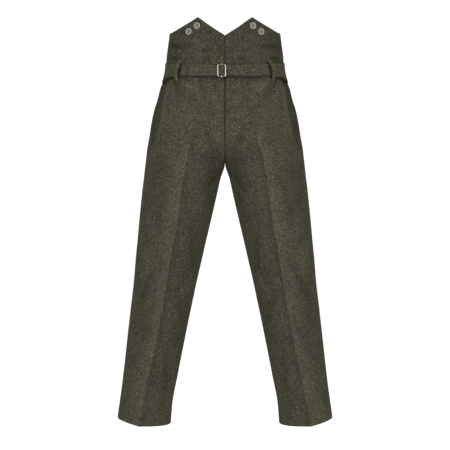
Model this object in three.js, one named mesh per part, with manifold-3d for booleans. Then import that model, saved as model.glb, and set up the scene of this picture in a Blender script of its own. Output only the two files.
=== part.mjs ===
// Uniform trousers seen from the back: hollow worn form of heavy wool cloth, with a fishtail back,
// a cinch strap with a slide buckle, brace buttons and a lapped fly.
// Millimetres. Z is up, the back faces -Y, the wearer's left is -X.
// The origin is the middle of the waist, at the upper edge of the cinch strap.
import * as THREE from 'three';
import { mergeVertices } from 'three/addons/utils/BufferGeometryUtils.js';
import Module from 'manifold-3d';

// Cloth and seams.
const WALL = 2;
const SEAM_GAP = 0.3;
const REST_GAP = 0.5;

// Heights of the places that the cut turns on.
const CROTCH = -256;
const SEAT_TURN = -150;
const YOKE_START = 30;
const HEM = -959.5;
const HEM_BEND_TOP = -600;
const HEM_RISE_OUTWARD = 0.128;
const HEM_RISE_FORWARD = 0.0625;

// The section changes from one hip oval to two leg arcs between these levels.
const OVAL_END = -70;
const ARCS_START = -245;
const OVAL_POWER = 2.3;
const RISE_POWER = 2.3;
// How squarely the seat runs on from the centre seam into the two legs.
const SEAT_BLEND_POWER = 4;

// One row for each level, with its columns named at the end. outer and inner are the half widths of
// the outline, crease is how far out the pressed crease lies, seat and belly are the depths behind and
// before the side line on the crease, back and front the depths on the centre seam, fold the arc in
// degrees that meets the crease (90 has no crease), seam the place of the side seam round the half ring.
const SECTIONS = [
  [135, 151, 0, 73, 97, 94, 99, 94, 90, -0.18],
  [96, 152.5, 0, 73, 98, 95, 100, 95, 90, -0.18],
  [60, 156.7, 0, 74, 100, 98, 102, 98, 90, -0.18],
  [30, 160.7, 0, 75, 102, 100, 104, 100, 90, -0.18],
  [0, 161.8, 0, 76, 105, 103, 106, 103, 90, -0.19],
  [-33, 170, 0, 77, 112, 107, 111, 107, 90, -0.2],
  [-50, 177.2, 0, 77, 116, 110, 114, 109, 90, -0.21],
  [-82, 185.4, 0, 78, 123, 114, 120, 111, 90, -0.215],
  [-115, 195.5, 0, 79, 130, 117, 124, 111, 90, -0.23],
  [-148, 202.5, 0, 81, 133, 118, 125, 108, 90, -0.23],
  [-181, 207.4, 0, 84, 133, 118, 125, 108, 88, -0.21],
  [-214, 213, 0, 90, 131, 116, 125, 108, 84, -0.16],
  [-256, 218.3, 0, 102, 126, 113, 125, 108, 78, -0.07],
  [-300, 223, 12.6, 110, 120, 110, 0, 0, 70, -0.03],
  [-343, 228.5, 22, 116, 116, 107, 0, 0, 65, -0.03],
  [-426, 236.8, 41.3, 128, 108, 101, 0, 0, 60, -0.03],
  [-508, 244.6, 60.5, 143, 102, 97, 0, 0, 57, -0.03],
  [-591, 251.8, 79.5, 157, 98, 94, 0, 0, 55, -0.03],
  [-673, 261.2, 96.8, 171.5, 95, 91, 0, 0, 54, -0.03],
  [-756, 270.6, 113.6, 186.5, 93, 90, 0, 0, 53, -0.03],
  [-838, 279.9, 129.7, 205.5, 91, 88, 0, 0, 53, -0.03],
  [-921, 291, 145, 221.5, 89, 86, 0, 0, 53, -0.03],
  [-990, 301.5, 150, 235, 88, 86, 0, 0, 53, -0.03],
].map(([level, outer, inner, crease, seat, belly, back, front, fold, seam]) => (
  { level, outer, inner, crease, seat, belly, back, front, fold, seam }
));

// Upper edge of the back, which rises to a fishtail peak on each side of the centre notch.
const BACK_TOP = [
  { level: 0, height: 75.5 },
  { level: 36, height: 100 },
  { level: 66, height: 122.5 },
  { level: 73, height: 127 },
  { level: 80, height: 123.5 },
  { level: 100, height: 113.8 },
  { level: 120, height: 104.4 },
  { level: 140, height: 97 },
  { level: 155, height: 96 },
];
// Upper edge of the front, which dips a little to the middle.
const FRONT_TOP = [
  { level: 0, height: 78 },
  { level: 60, height: 82 },
  { level: 120, height: 90 },
  { level: 155, height: 96 },
];

// Rows of the panels: levels from the hem to the yoke, then shares of the yoke up to its edge.
const LEG_LEVELS = [
  HEM, -948, -915, -870, -820, -770, -720, -670, -620, -570, -520, -470, -420, -370, -325, -290, -268,
];
const HIP_LEVELS = [
  CROTCH, -253, -246, -235, -220, -202, -180, -155, -130, -105, -80, -56, -36, -18, 0, 16, YOKE_START,
];
const YOKE_SHARES = [0.3, 0.6, 0.85, 1];
// Place of the pressed creases round the half ring, and of the two centre seams.
const CREASE = 0.5;
const CENTRE = 1;
// Cells between the centre seam, the crease, the side seam and the side line.
const CELLS_CENTRE_TO_CREASE = 7;
const CELLS_CREASE_TO_SEAM = 6;
const CELLS_SEAM_TO_SIDE = 2;
const CELLS_SIDE_TO_CREASE = 6;

// Largest soft folds. level and around give the middle, tall and wide the half sizes in mm,
// lean how far round it shifts per mm of height, lift how far it stands out (below 0 is a trough).
const FOLDS = [
  { level: -48, around: -0.36, tall: 26, wide: 14, lean: 0.0022, lift: -3 },
  { level: -64, around: -0.47, tall: 34, wide: 20, lean: 0.002, lift: 2 },
  { level: -212, around: -0.72, tall: 46, wide: 22, lean: 0.0016, lift: -3.5 },
  { level: -300, around: -0.78, tall: 70, wide: 20, lean: 0.0006, lift: -3 },
  { level: -330, around: -0.24, tall: 90, wide: 26, lean: 0, lift: -2.5 },
  { level: -575, around: -0.7, tall: 70, wide: 24, lean: -0.0008, lift: -3 },
  { level: -640, around: -0.26, tall: 90, wide: 26, lean: 0.0006, lift: -3 },
  { level: -880, around: -0.74, tall: 60, wide: 20, lean: 0, lift: -3 },
  { level: -215, around: 0.74, tall: 50, wide: 24, lean: -0.0018, lift: -3.5 },
  { level: -300, around: 0.3, tall: 90, wide: 28, lean: 0, lift: -2.5 },
  { level: -590, around: 0.72, tall: 80, wide: 24, lean: 0, lift: -3 },
  { level: -870, around: 0.28, tall: 70, wide: 22, lean: 0, lift: -3 },
];
const HALF_RING_LENGTH = 290;

// Raised edge of the back panel along the side seam, with a hollow just in front of it. The shifts
// and widths are shares of the half ring.
const SEAM_RIDGE = {
  top: -26,
  bottom: -215,
  fade: 40,
  height: 2.6,
  shift: -0.02,
  width: 0.04,
  hollow: 3.4,
  hollowShift: 0.1,
  hollowWidth: 0.055,
};

// Fly: the left front laps over the right one, which runs on behind it.
// It stands out over the last columns of its panel.
const FLY = {
  end: -202,
  bottom: -180,
  lastFull: -152,
  lap: 6,
  lapRise: 2.6,
  underlap: 22,
  underlapDrop: 1.3,
  lift: 2.7,
  columns: 2,
};

// Cinch strap across the back. Its edges, as heights, by how far out it is.
const STRAP_THICKNESS = 2.2;
const STRAP_EDGES = [
  { level: 0, upper: -1.4, lower: -31.4 },
  { level: 60, upper: 1, lower: -31 },
  { level: 120, upper: 6.3, lower: -28.5 },
  { level: 150, upper: 12, lower: -29.8 },
  { level: 157, upper: 14.5, lower: -33.5 },
  { level: 163, upper: 16, lower: -36.5 },
  { level: 180, upper: 16, lower: -37 },
];
// How many columns past the side line the strap is sewn down, and its distance out from there on.
const STRAP_END_COLUMNS = 2;
const STRAP_END_ACROSS = 180;
// The strap stands further out between this column and its sewn end.
const STRAP_SIDE_LIFT = 3;
const STRAP_LIFT_COLUMN = 11.5;
// Least share of a column between the strap's own stations and the panel's columns.
const STRAP_COLUMN_CLEAR = 0.15;

// Slide buckle, in its own plane: across is +X, up is along the strap's width.
const BUCKLE = {
  middle: -8.9,
  height: -17.8,
  width: 23.4,
  tall: 34.4,
  corner: 5.5,
  windowWidth: 16.2,
  windowTall: 30.4,
  windowCorner: 3.2,
  lift: 3.4,
  thickness: 2.4,
  barWidth: 5.4,
  barThickness: 1.6,
  barLift: 0.05,
  ball: 1.8,
  ballInset: 0.1,
  ballSegments: 10,
  ballRings: 7,
  cornerSegments: 4,
};
// Stations of the left strap where it runs under the frame and over the middle bar: the distance
// from the middle of the buckle and the lift from the panel, for its inner and outer face.
const STRAP_WRAP = [
  { inAcross: 16, inLift: 0.5, outAcross: 16, outLift: 2.7 },
  { inAcross: 6.8, inLift: 0.5, outAcross: 8.0, outLift: 2.7 },
  { inAcross: 4.3, inLift: 1.9, outAcross: 6.1, outLift: 3 },
  { inAcross: 3.3, inLift: 5.3, outAcross: 4.6, outLift: 6.4 },
  { inAcross: 2.2, inLift: 5.4, outAcross: 3.2, outLift: 7.2 },
  { inAcross: -2.2, inLift: 5.4, outAcross: -3, outLift: 7.2 },
  { inAcross: -3.3, inLift: 5.2, outAcross: -4.6, outLift: 6.4 },
  { inAcross: -3.4, inLift: 3.4, outAcross: -5, outLift: 3.8 },
];
// The strap is narrower where it stands higher than this over the bar.
const STRAP_WRAP_TRIM = 2.6;
const STRAP_WRAP_HIGH = 1;
// The right strap starts this far from the middle of the buckle and meets the panel's columns later.
const RIGHT_STRAP_START = 6.4;
const RIGHT_STRAP_FIRST = 6;

// Belt loops: a narrow strip that bows outward over the strap, from its upper to its lower end.
const LOOP_WIDTH = 10;
const LOOP_THICKNESS = 1.6;
const LOOP_COURSE = [
  { height: 16, across: 117, lift: 0.5 },
  { height: 11, across: 119.5, lift: 1.8 },
  { height: 5, across: 122.2, lift: 4 },
  { height: -4, across: 125.5, lift: 5.4 },
  { height: -14, across: 128, lift: 6.2 },
  { height: -23, across: 129.3, lift: 5.2 },
  { height: -30, across: 129.8, lift: 3.4 },
  { height: -36, across: 130, lift: 1 },
  { height: -40, across: 130, lift: 0.5 },
];

// Four-hole buttons.
const BUTTON = {
  radius: 8.6,
  thick: 3,
  dishRadius: 6,
  dishDepth: 1.2,
  rim: 0.8,
  hole: 1,
  holeOut: 2,
  sides: 18,
  holeSides: 6,
};
const BACK_BRACE_BUTTONS = [
  { across: 74.5, height: 105.3 },
  { across: 96.3, height: 91 },
];
const FRONT_BRACE_BUTTONS = [
  { across: 58, height: 66 },
  { across: 92, height: 70 },
];
const WAIST_BUTTON = { across: 9, height: 60 };

// Finishes.
const FINISHES = {
  wool: { color: 0x4b4a3c, roughness: 0.95, metalness: 0 },
  strap: { color: 0x4e4c3f, roughness: 0.95, metalness: 0 },
  metal: { color: 0xb7b2a6, roughness: 0.3, metalness: 0.9 },
  button: { color: 0x8b8a80, roughness: 0.5, metalness: 0 },
};

// Points closer than this are one point of a solid.
const WELD = 1e-4;

function smoothStep(from, to, value) {
  const share = Math.min(Math.max((value - from) / (to - from), 0), 1);
  return share * share * (3 - 2 * share);
}

// Value of one column between two rows, on a curve with no overshoot. Rows run up or down in level.
function read(rows, column, level) {
  const last = rows.length - 1;
  const direction = Math.sign(rows[last].level - rows[0].level);
  const secant = (i) => (rows[i + 1][column] - rows[i][column]) / (rows[i + 1].level - rows[i].level);
  const slope = (i) => {
    if (i === 0) return secant(0);
    if (i === last) return secant(last - 1);
    const before = secant(i - 1);
    const after = secant(i);
    return before * after <= 0 ? 0 : (2 * before * after) / (before + after);
  };
  if ((level - rows[0].level) * direction <= 0) return rows[0][column];
  if ((level - rows[last].level) * direction >= 0) return rows[last][column];
  let i = 0;
  while ((rows[i + 1].level - level) * direction < 0) i += 1;
  const span = rows[i + 1].level - rows[i].level;
  const t = (level - rows[i].level) / span;
  const low = rows[i][column];
  const high = rows[i + 1][column];
  const bend = t * t * (3 - 2 * t);
  const leave = t * (1 - t) * (1 - t) * span * slope(i);
  const arrive = t * t * (t - 1) * span * slope(i + 1);
  return low + (high - low) * bend + leave + arrive;
}

// Depth of the centre seam, which curves in to nothing at the crotch.
function riseDepth(level, full) {
  if (level <= CROTCH) return 0;
  const drop = Math.min(Math.max((SEAT_TURN - level) / (SEAT_TURN - CROTCH), 0), 1);
  return full * (1 - drop ** RISE_POWER) ** (1 / RISE_POWER);
}

// How far the cloth stands out from its plain section at a place.
function relief(level, around) {
  let out = 0;
  for (const fold of FOLDS) {
    const up = (level - fold.level) / fold.tall;
    const over = ((around - fold.around - fold.lean * (level - fold.level)) * HALF_RING_LENGTH) / fold.wide;
    out += fold.lift * Math.exp(-up * up - over * over);
  }
  const seam = read(SECTIONS, 'seam', level);
  const strength = smoothStep(SEAM_RIDGE.bottom, SEAM_RIDGE.bottom + SEAM_RIDGE.fade, level)
    * (1 - smoothStep(SEAM_RIDGE.top - SEAM_RIDGE.fade, SEAM_RIDGE.top, level));
  const ridge = ((around - seam - SEAM_RIDGE.shift) / SEAM_RIDGE.width) ** 2;
  const hollow = ((around - seam - SEAM_RIDGE.hollowShift) / SEAM_RIDGE.hollowWidth) ** 2;
  return out + strength * (SEAM_RIDGE.height * Math.exp(-ridge) - SEAM_RIDGE.hollow * Math.exp(-hollow));
}

// Plain section of one half, outward positive. around runs from -1 on the back seam to 0 on the
// side line and 1 on the front seam, with the creases at -0.5 and 0.5.
function section(level, around) {
  const behind = around < 0;
  const share = Math.abs(around);
  const outer = read(SECTIONS, 'outer', level);
  const inner = level < CROTCH ? read(SECTIONS, 'inner', level) : 0;
  const crease = read(SECTIONS, 'crease', level);
  const depth = read(SECTIONS, behind ? 'seat' : 'belly', level);
  const centre = riseDepth(level, read(SECTIONS, behind ? 'back' : 'front', level));
  const fold = THREE.MathUtils.degToRad(read(SECTIONS, 'fold', level));

  const creaseAngle = Math.acos((crease / outer) ** (OVAL_POWER / 2));
  const onOuterArc = share <= CREASE;
  const ovalAngle = onOuterArc
    ? creaseAngle * (share / CREASE)
    : creaseAngle + ((Math.PI / 2 - creaseAngle) * (share - CREASE)) / (CENTRE - CREASE);
  const ovalX = outer * Math.max(Math.cos(ovalAngle), 0) ** (2 / OVAL_POWER);
  const ovalY = centre * Math.sin(ovalAngle) ** (2 / OVAL_POWER);

  const turn = fold * (onOuterArc ? share / CREASE : (CENTRE - share) / (CENTRE - CREASE));
  const run = (1 - Math.cos(turn)) / (1 - Math.cos(fold));
  const reach = Math.sin(turn) / Math.sin(fold);
  const arcX = onOuterArc ? outer - (outer - crease) * run : inner + (crease - inner) * run;
  const seatDepth = (centre ** SEAT_BLEND_POWER * (1 - reach ** SEAT_BLEND_POWER)
    + (depth * reach) ** SEAT_BLEND_POWER) ** (1 / SEAT_BLEND_POWER);
  const arcY = onOuterArc ? depth * reach : seatDepth;

  const legShare = 1 - smoothStep(ARCS_START, OVAL_END, level);
  const x = ovalX + (arcX - ovalX) * legShare;
  const y = ovalY + (arcY - ovalY) * legShare;
  return new THREE.Vector3(x, behind ? -y : y, level);
}

// Round places of the columns at a level.
function columnsAt(level) {
  const seam = read(SECTIONS, 'seam', level);
  const columns = [];
  const stretch = (from, to, cells) => {
    for (let i = 0; i < cells; i += 1) columns.push(from + ((to - from) * i) / cells);
  };
  stretch(-CENTRE, -CREASE, CELLS_CENTRE_TO_CREASE);
  stretch(-CREASE, seam, CELLS_CREASE_TO_SEAM);
  stretch(seam, 0, CELLS_SEAM_TO_SIDE);
  stretch(0, CREASE, CELLS_SIDE_TO_CREASE);
  stretch(CREASE, CENTRE, CELLS_CENTRE_TO_CREASE);
  columns.push(CENTRE);
  return columns;
}
const SEAM_COLUMN = CELLS_CENTRE_TO_CREASE + CELLS_CREASE_TO_SEAM;
const SIDE_COLUMN = SEAM_COLUMN + CELLS_SEAM_TO_SIDE;
const LAST_COLUMN = SIDE_COLUMN + CELLS_SIDE_TO_CREASE + CELLS_CENTRE_TO_CREASE;
const CROTCH_ROW = LEG_LEVELS.length;

// Passes that bring a sloping edge, or a wanted distance out, to rest.
const HEM_PASSES = 3;
const EDGE_PASSES = 6;
const COLUMN_PASSES = 40;

// Place on the plain section at a row's level, with the slanted hem and the shaped upper edge.
function slantedPlace(level, column) {
  const legMiddle = (read(SECTIONS, 'outer', level) + read(SECTIONS, 'inner', level)) / 2;
  const slant = smoothStep(-HEM_BEND_TOP, -HEM, -level);
  let height = level;
  let place = section(height, columnsAt(height)[column]);
  for (let pass = 0; pass < HEM_PASSES; pass += 1) {
    height = level + slant * (HEM_RISE_OUTWARD * (place.x - legMiddle) + HEM_RISE_FORWARD * place.y);
    place = section(height, columnsAt(height)[column]);
  }
  return place;
}

function yokePlace(share, column) {
  let place = section(YOKE_START, columnsAt(YOKE_START)[column]);
  for (let pass = 0; pass < EDGE_PASSES; pass += 1) {
    const edge = read(column <= SEAM_COLUMN ? BACK_TOP : FRONT_TOP, 'height', place.x);
    const height = YOKE_START + (edge - YOKE_START) * share;
    place = section(height, columnsAt(height)[column]);
  }
  return place;
}

// Outer points of one half of the trousers, row by row, with their outward directions.
function clothGrid() {
  const places = [];
  for (const level of [...LEG_LEVELS, ...HIP_LEVELS]) {
    const row = [];
    for (let column = 0; column <= LAST_COLUMN; column += 1) row.push(slantedPlace(level, column));
    places.push(row);
  }
  for (const share of YOKE_SHARES) {
    const row = [];
    for (let column = 0; column <= LAST_COLUMN; column += 1) row.push(yokePlace(share, column));
    places.push(row);
  }
  return places.map((row, i) => row.map((place, column) => {
    const closed = i < CROTCH_ROW;
    const before = column > 0 ? row[column - 1] : row[closed ? LAST_COLUMN - 1 : 0];
    const after = column < LAST_COLUMN ? row[column + 1] : row[closed ? 1 : LAST_COLUMN];
    const below = places[Math.max(i - 1, 0)][column];
    const above = places[Math.min(i + 1, places.length - 1)][column];
    const out = after.clone().sub(before).cross(above.clone().sub(below)).normalize();
    if (i === CROTCH_ROW && (column === 0 || column === LAST_COLUMN)) out.set(-1, 0, -1).normalize();
    const around = columnsAt(place.z)[column];
    const point = place.clone().addScaledVector(out, relief(place.z, around));
    return { point, out };
  }));
}

const GRID = clothGrid();

// Point and outward direction on the flat facets of the panels, between rows and columns.
function onPanel(height, column) {
  const left = Math.min(Math.floor(column), LAST_COLUMN - 1);
  const share = column - left;
  const mixed = GRID.map((row) => ({
    point: row[left].point.clone().lerp(row[left + 1].point, share),
    out: row[left].out.clone().lerp(row[left + 1].out, share),
  }));
  let i = CROTCH_ROW;
  while (i < mixed.length - 2 && mixed[i + 1].point.z < height) i += 1;
  const low = mixed[i];
  const high = mixed[i + 1];
  const rise = (height - low.point.z) / (high.point.z - low.point.z);
  return {
    point: low.point.clone().lerp(high.point, rise),
    out: low.out.clone().lerp(high.out, rise).normalize(),
  };
}

// Column, with its fraction, that lies a given distance out from the middle, at the back or front.
function columnAt(height, across, atBack) {
  let low = atBack ? 0 : SIDE_COLUMN;
  let high = atBack ? SIDE_COLUMN : LAST_COLUMN;
  for (let pass = 0; pass < COLUMN_PASSES; pass += 1) {
    const middle = (low + high) / 2;
    const further = onPanel(height, middle).point.x < across;
    if (further === atBack) low = middle;
    else high = middle;
  }
  return (low + high) / 2;
}

// Closed wall between an outer and an inner grid of points. side is -1 on the left, 1 on the right.
function wallBody(outer, inner, side) {
  const rows = outer.length;
  const columns = outer[0].length;
  const positions = [];
  for (const grid of [outer, inner]) {
    for (const row of grid) for (const point of row) positions.push(side * point.x, point.y, point.z);
  }
  const at = (layer, row, column) => layer * rows * columns + row * columns + column;
  const faces = [];
  const quad = (a, b, c, d) => {
    if (side > 0) faces.push(a, c, b, a, d, c);
    else faces.push(a, b, c, a, c, d);
  };
  for (let i = 0; i < rows - 1; i += 1) {
    for (let j = 0; j < columns - 1; j += 1) {
      quad(at(0, i, j), at(0, i + 1, j), at(0, i + 1, j + 1), at(0, i, j + 1));
      quad(at(1, i, j), at(1, i, j + 1), at(1, i + 1, j + 1), at(1, i + 1, j));
    }
  }
  const end = columns - 1;
  for (let i = 0; i < rows - 1; i += 1) {
    quad(at(0, i, 0), at(1, i, 0), at(1, i + 1, 0), at(0, i + 1, 0));
    quad(at(0, i, end), at(0, i + 1, end), at(1, i + 1, end), at(1, i, end));
  }
  const top = rows - 1;
  for (let j = 0; j < columns - 1; j += 1) {
    quad(at(0, 0, j), at(0, 0, j + 1), at(1, 0, j + 1), at(1, 0, j));
    quad(at(0, top, j), at(1, top, j), at(1, top, j + 1), at(0, top, j + 1));
  }
  const geometry = new THREE.BufferGeometry();
  geometry.setAttribute('position', new THREE.Float32BufferAttribute(positions, 3));
  geometry.setIndex(faces);
  return geometry;
}

// Wall of one panel between two columns. shape may move a point before the wall gets its thickness.
function panelBody(fromColumn, toColumn, side, shape) {
  const outer = [];
  const inner = [];
  GRID.forEach((row, i) => {
    const outerRow = [];
    const innerRow = [];
    for (let column = fromColumn; column <= toColumn; column += 1) {
      const point = row[column].point.clone();
      const out = row[column].out;
      const next = column === fromColumn ? row[column + 1].point : row[column - 1].point;
      const onCentre = column === 0 || column === LAST_COLUMN;
      const onEdge = column === fromColumn || column === toColumn;
      if (onEdge && !(onCentre && i > CROTCH_ROW)) {
        const inward = next.clone().sub(point);
        inward.addScaledVector(out, -inward.dot(out)).normalize();
        point.addScaledVector(inward, SEAM_GAP / 2);
      }
      const thickness = out.clone().multiplyScalar(WALL);
      const within = point.clone().sub(thickness);
      if (onCentre && i >= CROTCH_ROW) {
        point.x = Math.max(point.x, SEAM_GAP / 2);
        within.x = Math.max(within.x, SEAM_GAP / 2);
      }
      if (shape) shape(point, within, out, column, i);
      outerRow.push(point);
      innerRow.push(within);
    }
    outer.push(outerRow);
    inner.push(innerRow);
  });
  return wallBody(outer, inner, side);
}

// The left front stands out by its own thickness beside the fly and runs past the middle.
function lapOver(point, within, out, column) {
  const height = point.z;
  const rise = evenShare(FLY.end, FLY.bottom, height);
  const reach = evenShare(FLY.bottom, FLY.lastFull, height);
  if (column >= LAST_COLUMN - FLY.columns) {
    point.addScaledVector(out, FLY.lift * rise);
    within.addScaledVector(out, FLY.lift * rise);
  }
  if (column !== LAST_COLUMN) return;
  for (const place of [point, within]) {
    place.x -= FLY.lap * reach;
    place.y += FLY.lapRise * reach;
  }
}

// The right front runs on behind the left one.
function lapUnder(point, within, out, column) {
  const reach = evenShare(FLY.bottom, FLY.lastFull, point.z);
  if (column !== LAST_COLUMN) return;
  for (const place of [point, within]) {
    place.x -= FLY.underlap * reach;
    place.y -= FLY.underlapDrop * reach;
  }
}

function evenShare(from, to, value) {
  return Math.min(Math.max((value - from) / (to - from), 0), 1);
}

// Strap grid: columns along the strap, rows from its lower to its upper edge.
const STRAP_ROWS = [0, 0.33, 0.67, 1];

function strapRow(share, across) {
  const upper = read(STRAP_EDGES, 'upper', across);
  const lower = read(STRAP_EDGES, 'lower', across);
  return lower + (upper - lower) * share;
}

function strapLift(column) {
  const nearSide = smoothStep(STRAP_LIFT_COLUMN, SEAM_COLUMN, column);
  const sewnDown = smoothStep(SIDE_COLUMN, SIDE_COLUMN + STRAP_END_COLUMNS, column);
  return REST_GAP + STRAP_SIDE_LIFT * nearSide * (1 - sewnDown);
}

function strapPoint(height, column, lift) {
  const seat = onPanel(height, column);
  return seat.point.addScaledVector(seat.out, lift);
}

// Long run of the strap over the panel's own columns, from one column to its sewn end.
function strapRun(firstAcross, share, outer, inner) {
  const height = strapRow(share, firstAcross);
  const start = Math.ceil(columnAt(height, firstAcross, true) + STRAP_COLUMN_CLEAR);
  for (let column = start; column <= SIDE_COLUMN + STRAP_END_COLUMNS; column += 1) {
    const across = column > SIDE_COLUMN ? STRAP_END_ACROSS : onPanel(height, column).point.x;
    const level = strapRow(share, across);
    outer.push(strapPoint(level, column, strapLift(column) + STRAP_THICKNESS));
    inner.push(strapPoint(level, column, strapLift(column)));
  }
}

// The left strap, which wraps the buckle's middle bar. Outward is positive on either side.
function leftStrap() {
  const outer = [];
  const inner = [];
  for (const share of STRAP_ROWS) {
    const outerRow = [];
    const innerRow = [];
    for (const station of [...STRAP_WRAP].reverse()) {
      const trim = station.inLift > STRAP_WRAP_HIGH ? STRAP_WRAP_TRIM : 0;
      const place = (offset, lift) => {
        const across = offset - BUCKLE.middle;
        const level = strapRow(share, across) + trim * (1 - 2 * share);
        return strapPoint(level, columnAt(level, Math.max(across, 0), true), lift);
      };
      outerRow.push(place(station.outAcross, station.outLift));
      innerRow.push(place(station.inAcross, station.inLift));
    }
    strapRun(STRAP_WRAP[0].inAcross - BUCKLE.middle, share, outerRow, innerRow);
    outer.push(outerRow);
    inner.push(innerRow);
  }
  return wallBody(outer, inner, -1);
}

// The right strap starts under the buckle's right bar, left of the centre seam.
function rightStrap() {
  const outer = [];
  const inner = [];
  for (const share of STRAP_ROWS) {
    const outerRow = [];
    const innerRow = [];
    const start = BUCKLE.middle + RIGHT_STRAP_START;
    for (const across of [start, start + RIGHT_STRAP_FIRST]) {
      const level = strapRow(share, Math.abs(across));
      const seat = onPanel(level, columnAt(level, Math.abs(across), true));
      seat.point.x = across;
      outerRow.push(seat.point.clone().addScaledVector(seat.out, REST_GAP + STRAP_THICKNESS));
      innerRow.push(seat.point.clone().addScaledVector(seat.out, REST_GAP));
    }
    strapRun(start + RIGHT_STRAP_FIRST, share, outerRow, innerRow);
    outer.push(outerRow);
    inner.push(innerRow);
  }
  return wallBody(outer, inner, 1);
}

function beltLoop(side) {
  const outer = [];
  const inner = [];
  const course = [...LOOP_COURSE].reverse();
  for (const station of course) {
    const outerRow = [];
    const innerRow = [];
    for (const edge of [-0.5, 0, 0.5]) {
      const across = station.across + edge * LOOP_WIDTH;
      const column = columnAt(station.height, across, true);
      innerRow.push(strapPoint(station.height, column, station.lift));
      outerRow.push(strapPoint(station.height, column, station.lift + LOOP_THICKNESS));
    }
    outer.push(outerRow);
    inner.push(innerRow);
  }
  return wallBody(outer, inner, side);
}

const wasm = await Module();
wasm.setup();

function solidOf(geometry) {
  const plain = geometry.clone();
  plain.deleteAttribute('normal');
  plain.deleteAttribute('uv');
  const merged = mergeVertices(plain, WELD);
  return new wasm.Manifold(new wasm.Mesh({
    numProp: 3,
    vertProperties: new Float32Array(merged.attributes.position.array),
    triVerts: new Uint32Array(merged.index.array),
  }));
}

function geometryOf(solid) {
  const mesh = solid.getMesh();
  const geometry = new THREE.BufferGeometry();
  geometry.setAttribute('position', new THREE.BufferAttribute(new Float32Array(mesh.vertProperties), 3));
  geometry.setIndex(new THREE.BufferAttribute(new Uint32Array(mesh.triVerts), 1));
  return geometry;
}

function roundedRectangle(path, width, tall, corner) {
  const x = width / 2;
  const y = tall / 2;
  path.moveTo(-x + corner, -y);
  path.lineTo(x - corner, -y);
  path.absarc(x - corner, -y + corner, corner, -Math.PI / 2, 0);
  path.lineTo(x, y - corner);
  path.absarc(x - corner, y - corner, corner, 0, Math.PI / 2);
  path.lineTo(-x + corner, y);
  path.absarc(-x + corner, y - corner, corner, Math.PI / 2, Math.PI);
  path.lineTo(-x, -y + corner);
  path.absarc(-x + corner, -y + corner, corner, Math.PI, 1.5 * Math.PI);
  return path;
}

// Frame, middle bar and its two round ends, flat on the XY plane with the front facing +Z.
function buckleGeometry() {
  const { width, tall, corner, windowWidth, windowTall, windowCorner } = BUCKLE;
  const outline = roundedRectangle(new THREE.Shape(), width, tall, corner);
  outline.holes.push(roundedRectangle(new THREE.Path(), windowWidth, windowTall, windowCorner));
  const frame = new THREE.ExtrudeGeometry(outline, {
    depth: BUCKLE.thickness,
    bevelEnabled: false,
    curveSegments: BUCKLE.cornerSegments,
  });
  const barTall = (BUCKLE.windowTall + BUCKLE.tall) / 2;
  const bar = new THREE.BoxGeometry(BUCKLE.barWidth, barTall, BUCKLE.barThickness);
  bar.translate(0, 0, BUCKLE.barThickness / 2 + BUCKLE.barLift);
  let solid = solidOf(frame).add(solidOf(bar));
  for (const end of [-1, 1]) {
    const ball = new THREE.SphereGeometry(BUCKLE.ball, BUCKLE.ballSegments, BUCKLE.ballRings);
    ball.translate(0, end * (BUCKLE.tall / 2 - BUCKLE.ballInset), BUCKLE.thickness);
    solid = solid.add(solidOf(ball));
  }
  return geometryOf(solid);
}

// Dished disc with a rim and four holes, on the XY plane with the front facing +Z.
function buttonGeometry() {
  const profile = [
    new THREE.Vector2(0, 0),
    new THREE.Vector2(BUTTON.radius - BUTTON.rim, 0),
    new THREE.Vector2(BUTTON.radius, BUTTON.thick / 2),
    new THREE.Vector2(BUTTON.radius - BUTTON.rim, BUTTON.thick),
    new THREE.Vector2(BUTTON.dishRadius, BUTTON.thick - BUTTON.dishDepth),
    new THREE.Vector2(0, BUTTON.thick - BUTTON.dishDepth),
  ];
  const disc = new THREE.LatheGeometry(profile, BUTTON.sides);
  disc.rotateX(Math.PI / 2);
  let solid = solidOf(disc);
  for (const across of [-1, 1]) {
    for (const up of [-1, 1]) {
      const hole = new THREE.CylinderGeometry(BUTTON.hole, BUTTON.hole, BUTTON.thick * 2, BUTTON.holeSides);
      hole.rotateX(Math.PI / 2);
      const offset = BUTTON.holeOut / Math.SQRT2;
      hole.translate(across * offset, up * offset, BUTTON.thick / 2);
      solid = solid.subtract(solidOf(hole));
    }
  }
  return geometryOf(solid);
}

// Puts a flat piece on the panel, with its front turned outward and its Y axis as near up as it goes.
function seatOnPanel(mesh, height, across, side, atBack, lift) {
  const seat = onPanel(height, columnAt(height, across, atBack));
  const out = new THREE.Vector3(side * seat.out.x, seat.out.y, seat.out.z);
  const point = new THREE.Vector3(side * seat.point.x, seat.point.y, seat.point.z);
  const right = new THREE.Vector3(0, 0, 1).cross(out).normalize();
  const up = out.clone().cross(right);
  mesh.quaternion.setFromRotationMatrix(new THREE.Matrix4().makeBasis(right, up, out));
  mesh.position.copy(point.addScaledVector(out, lift));
  return mesh;
}

const trousers = new THREE.Group();

function addPiece(name, geometry, finish) {
  const mesh = new THREE.Mesh(geometry, new THREE.MeshStandardMaterial(finish));
  mesh.name = name;
  trousers.add(mesh);
  return mesh;
}

for (const [name, side] of [['left', -1], ['right', 1]]) {
  const lap = side < 0 ? lapOver : lapUnder;
  addPiece(`back_${name}`, panelBody(0, SEAM_COLUMN, side, null), FINISHES.wool);
  addPiece(`front_${name}`, panelBody(SEAM_COLUMN, LAST_COLUMN, side, lap), FINISHES.wool);
  addPiece(`belt_loop_${name}`, beltLoop(side), FINISHES.strap);
}
addPiece('belt_left', leftStrap(), FINISHES.strap);
addPiece('belt_right', rightStrap(), FINISHES.strap);

const buckle = addPiece('buckle', buckleGeometry(), FINISHES.metal);
seatOnPanel(buckle, BUCKLE.height, -BUCKLE.middle, -1, true, BUCKLE.lift);

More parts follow.
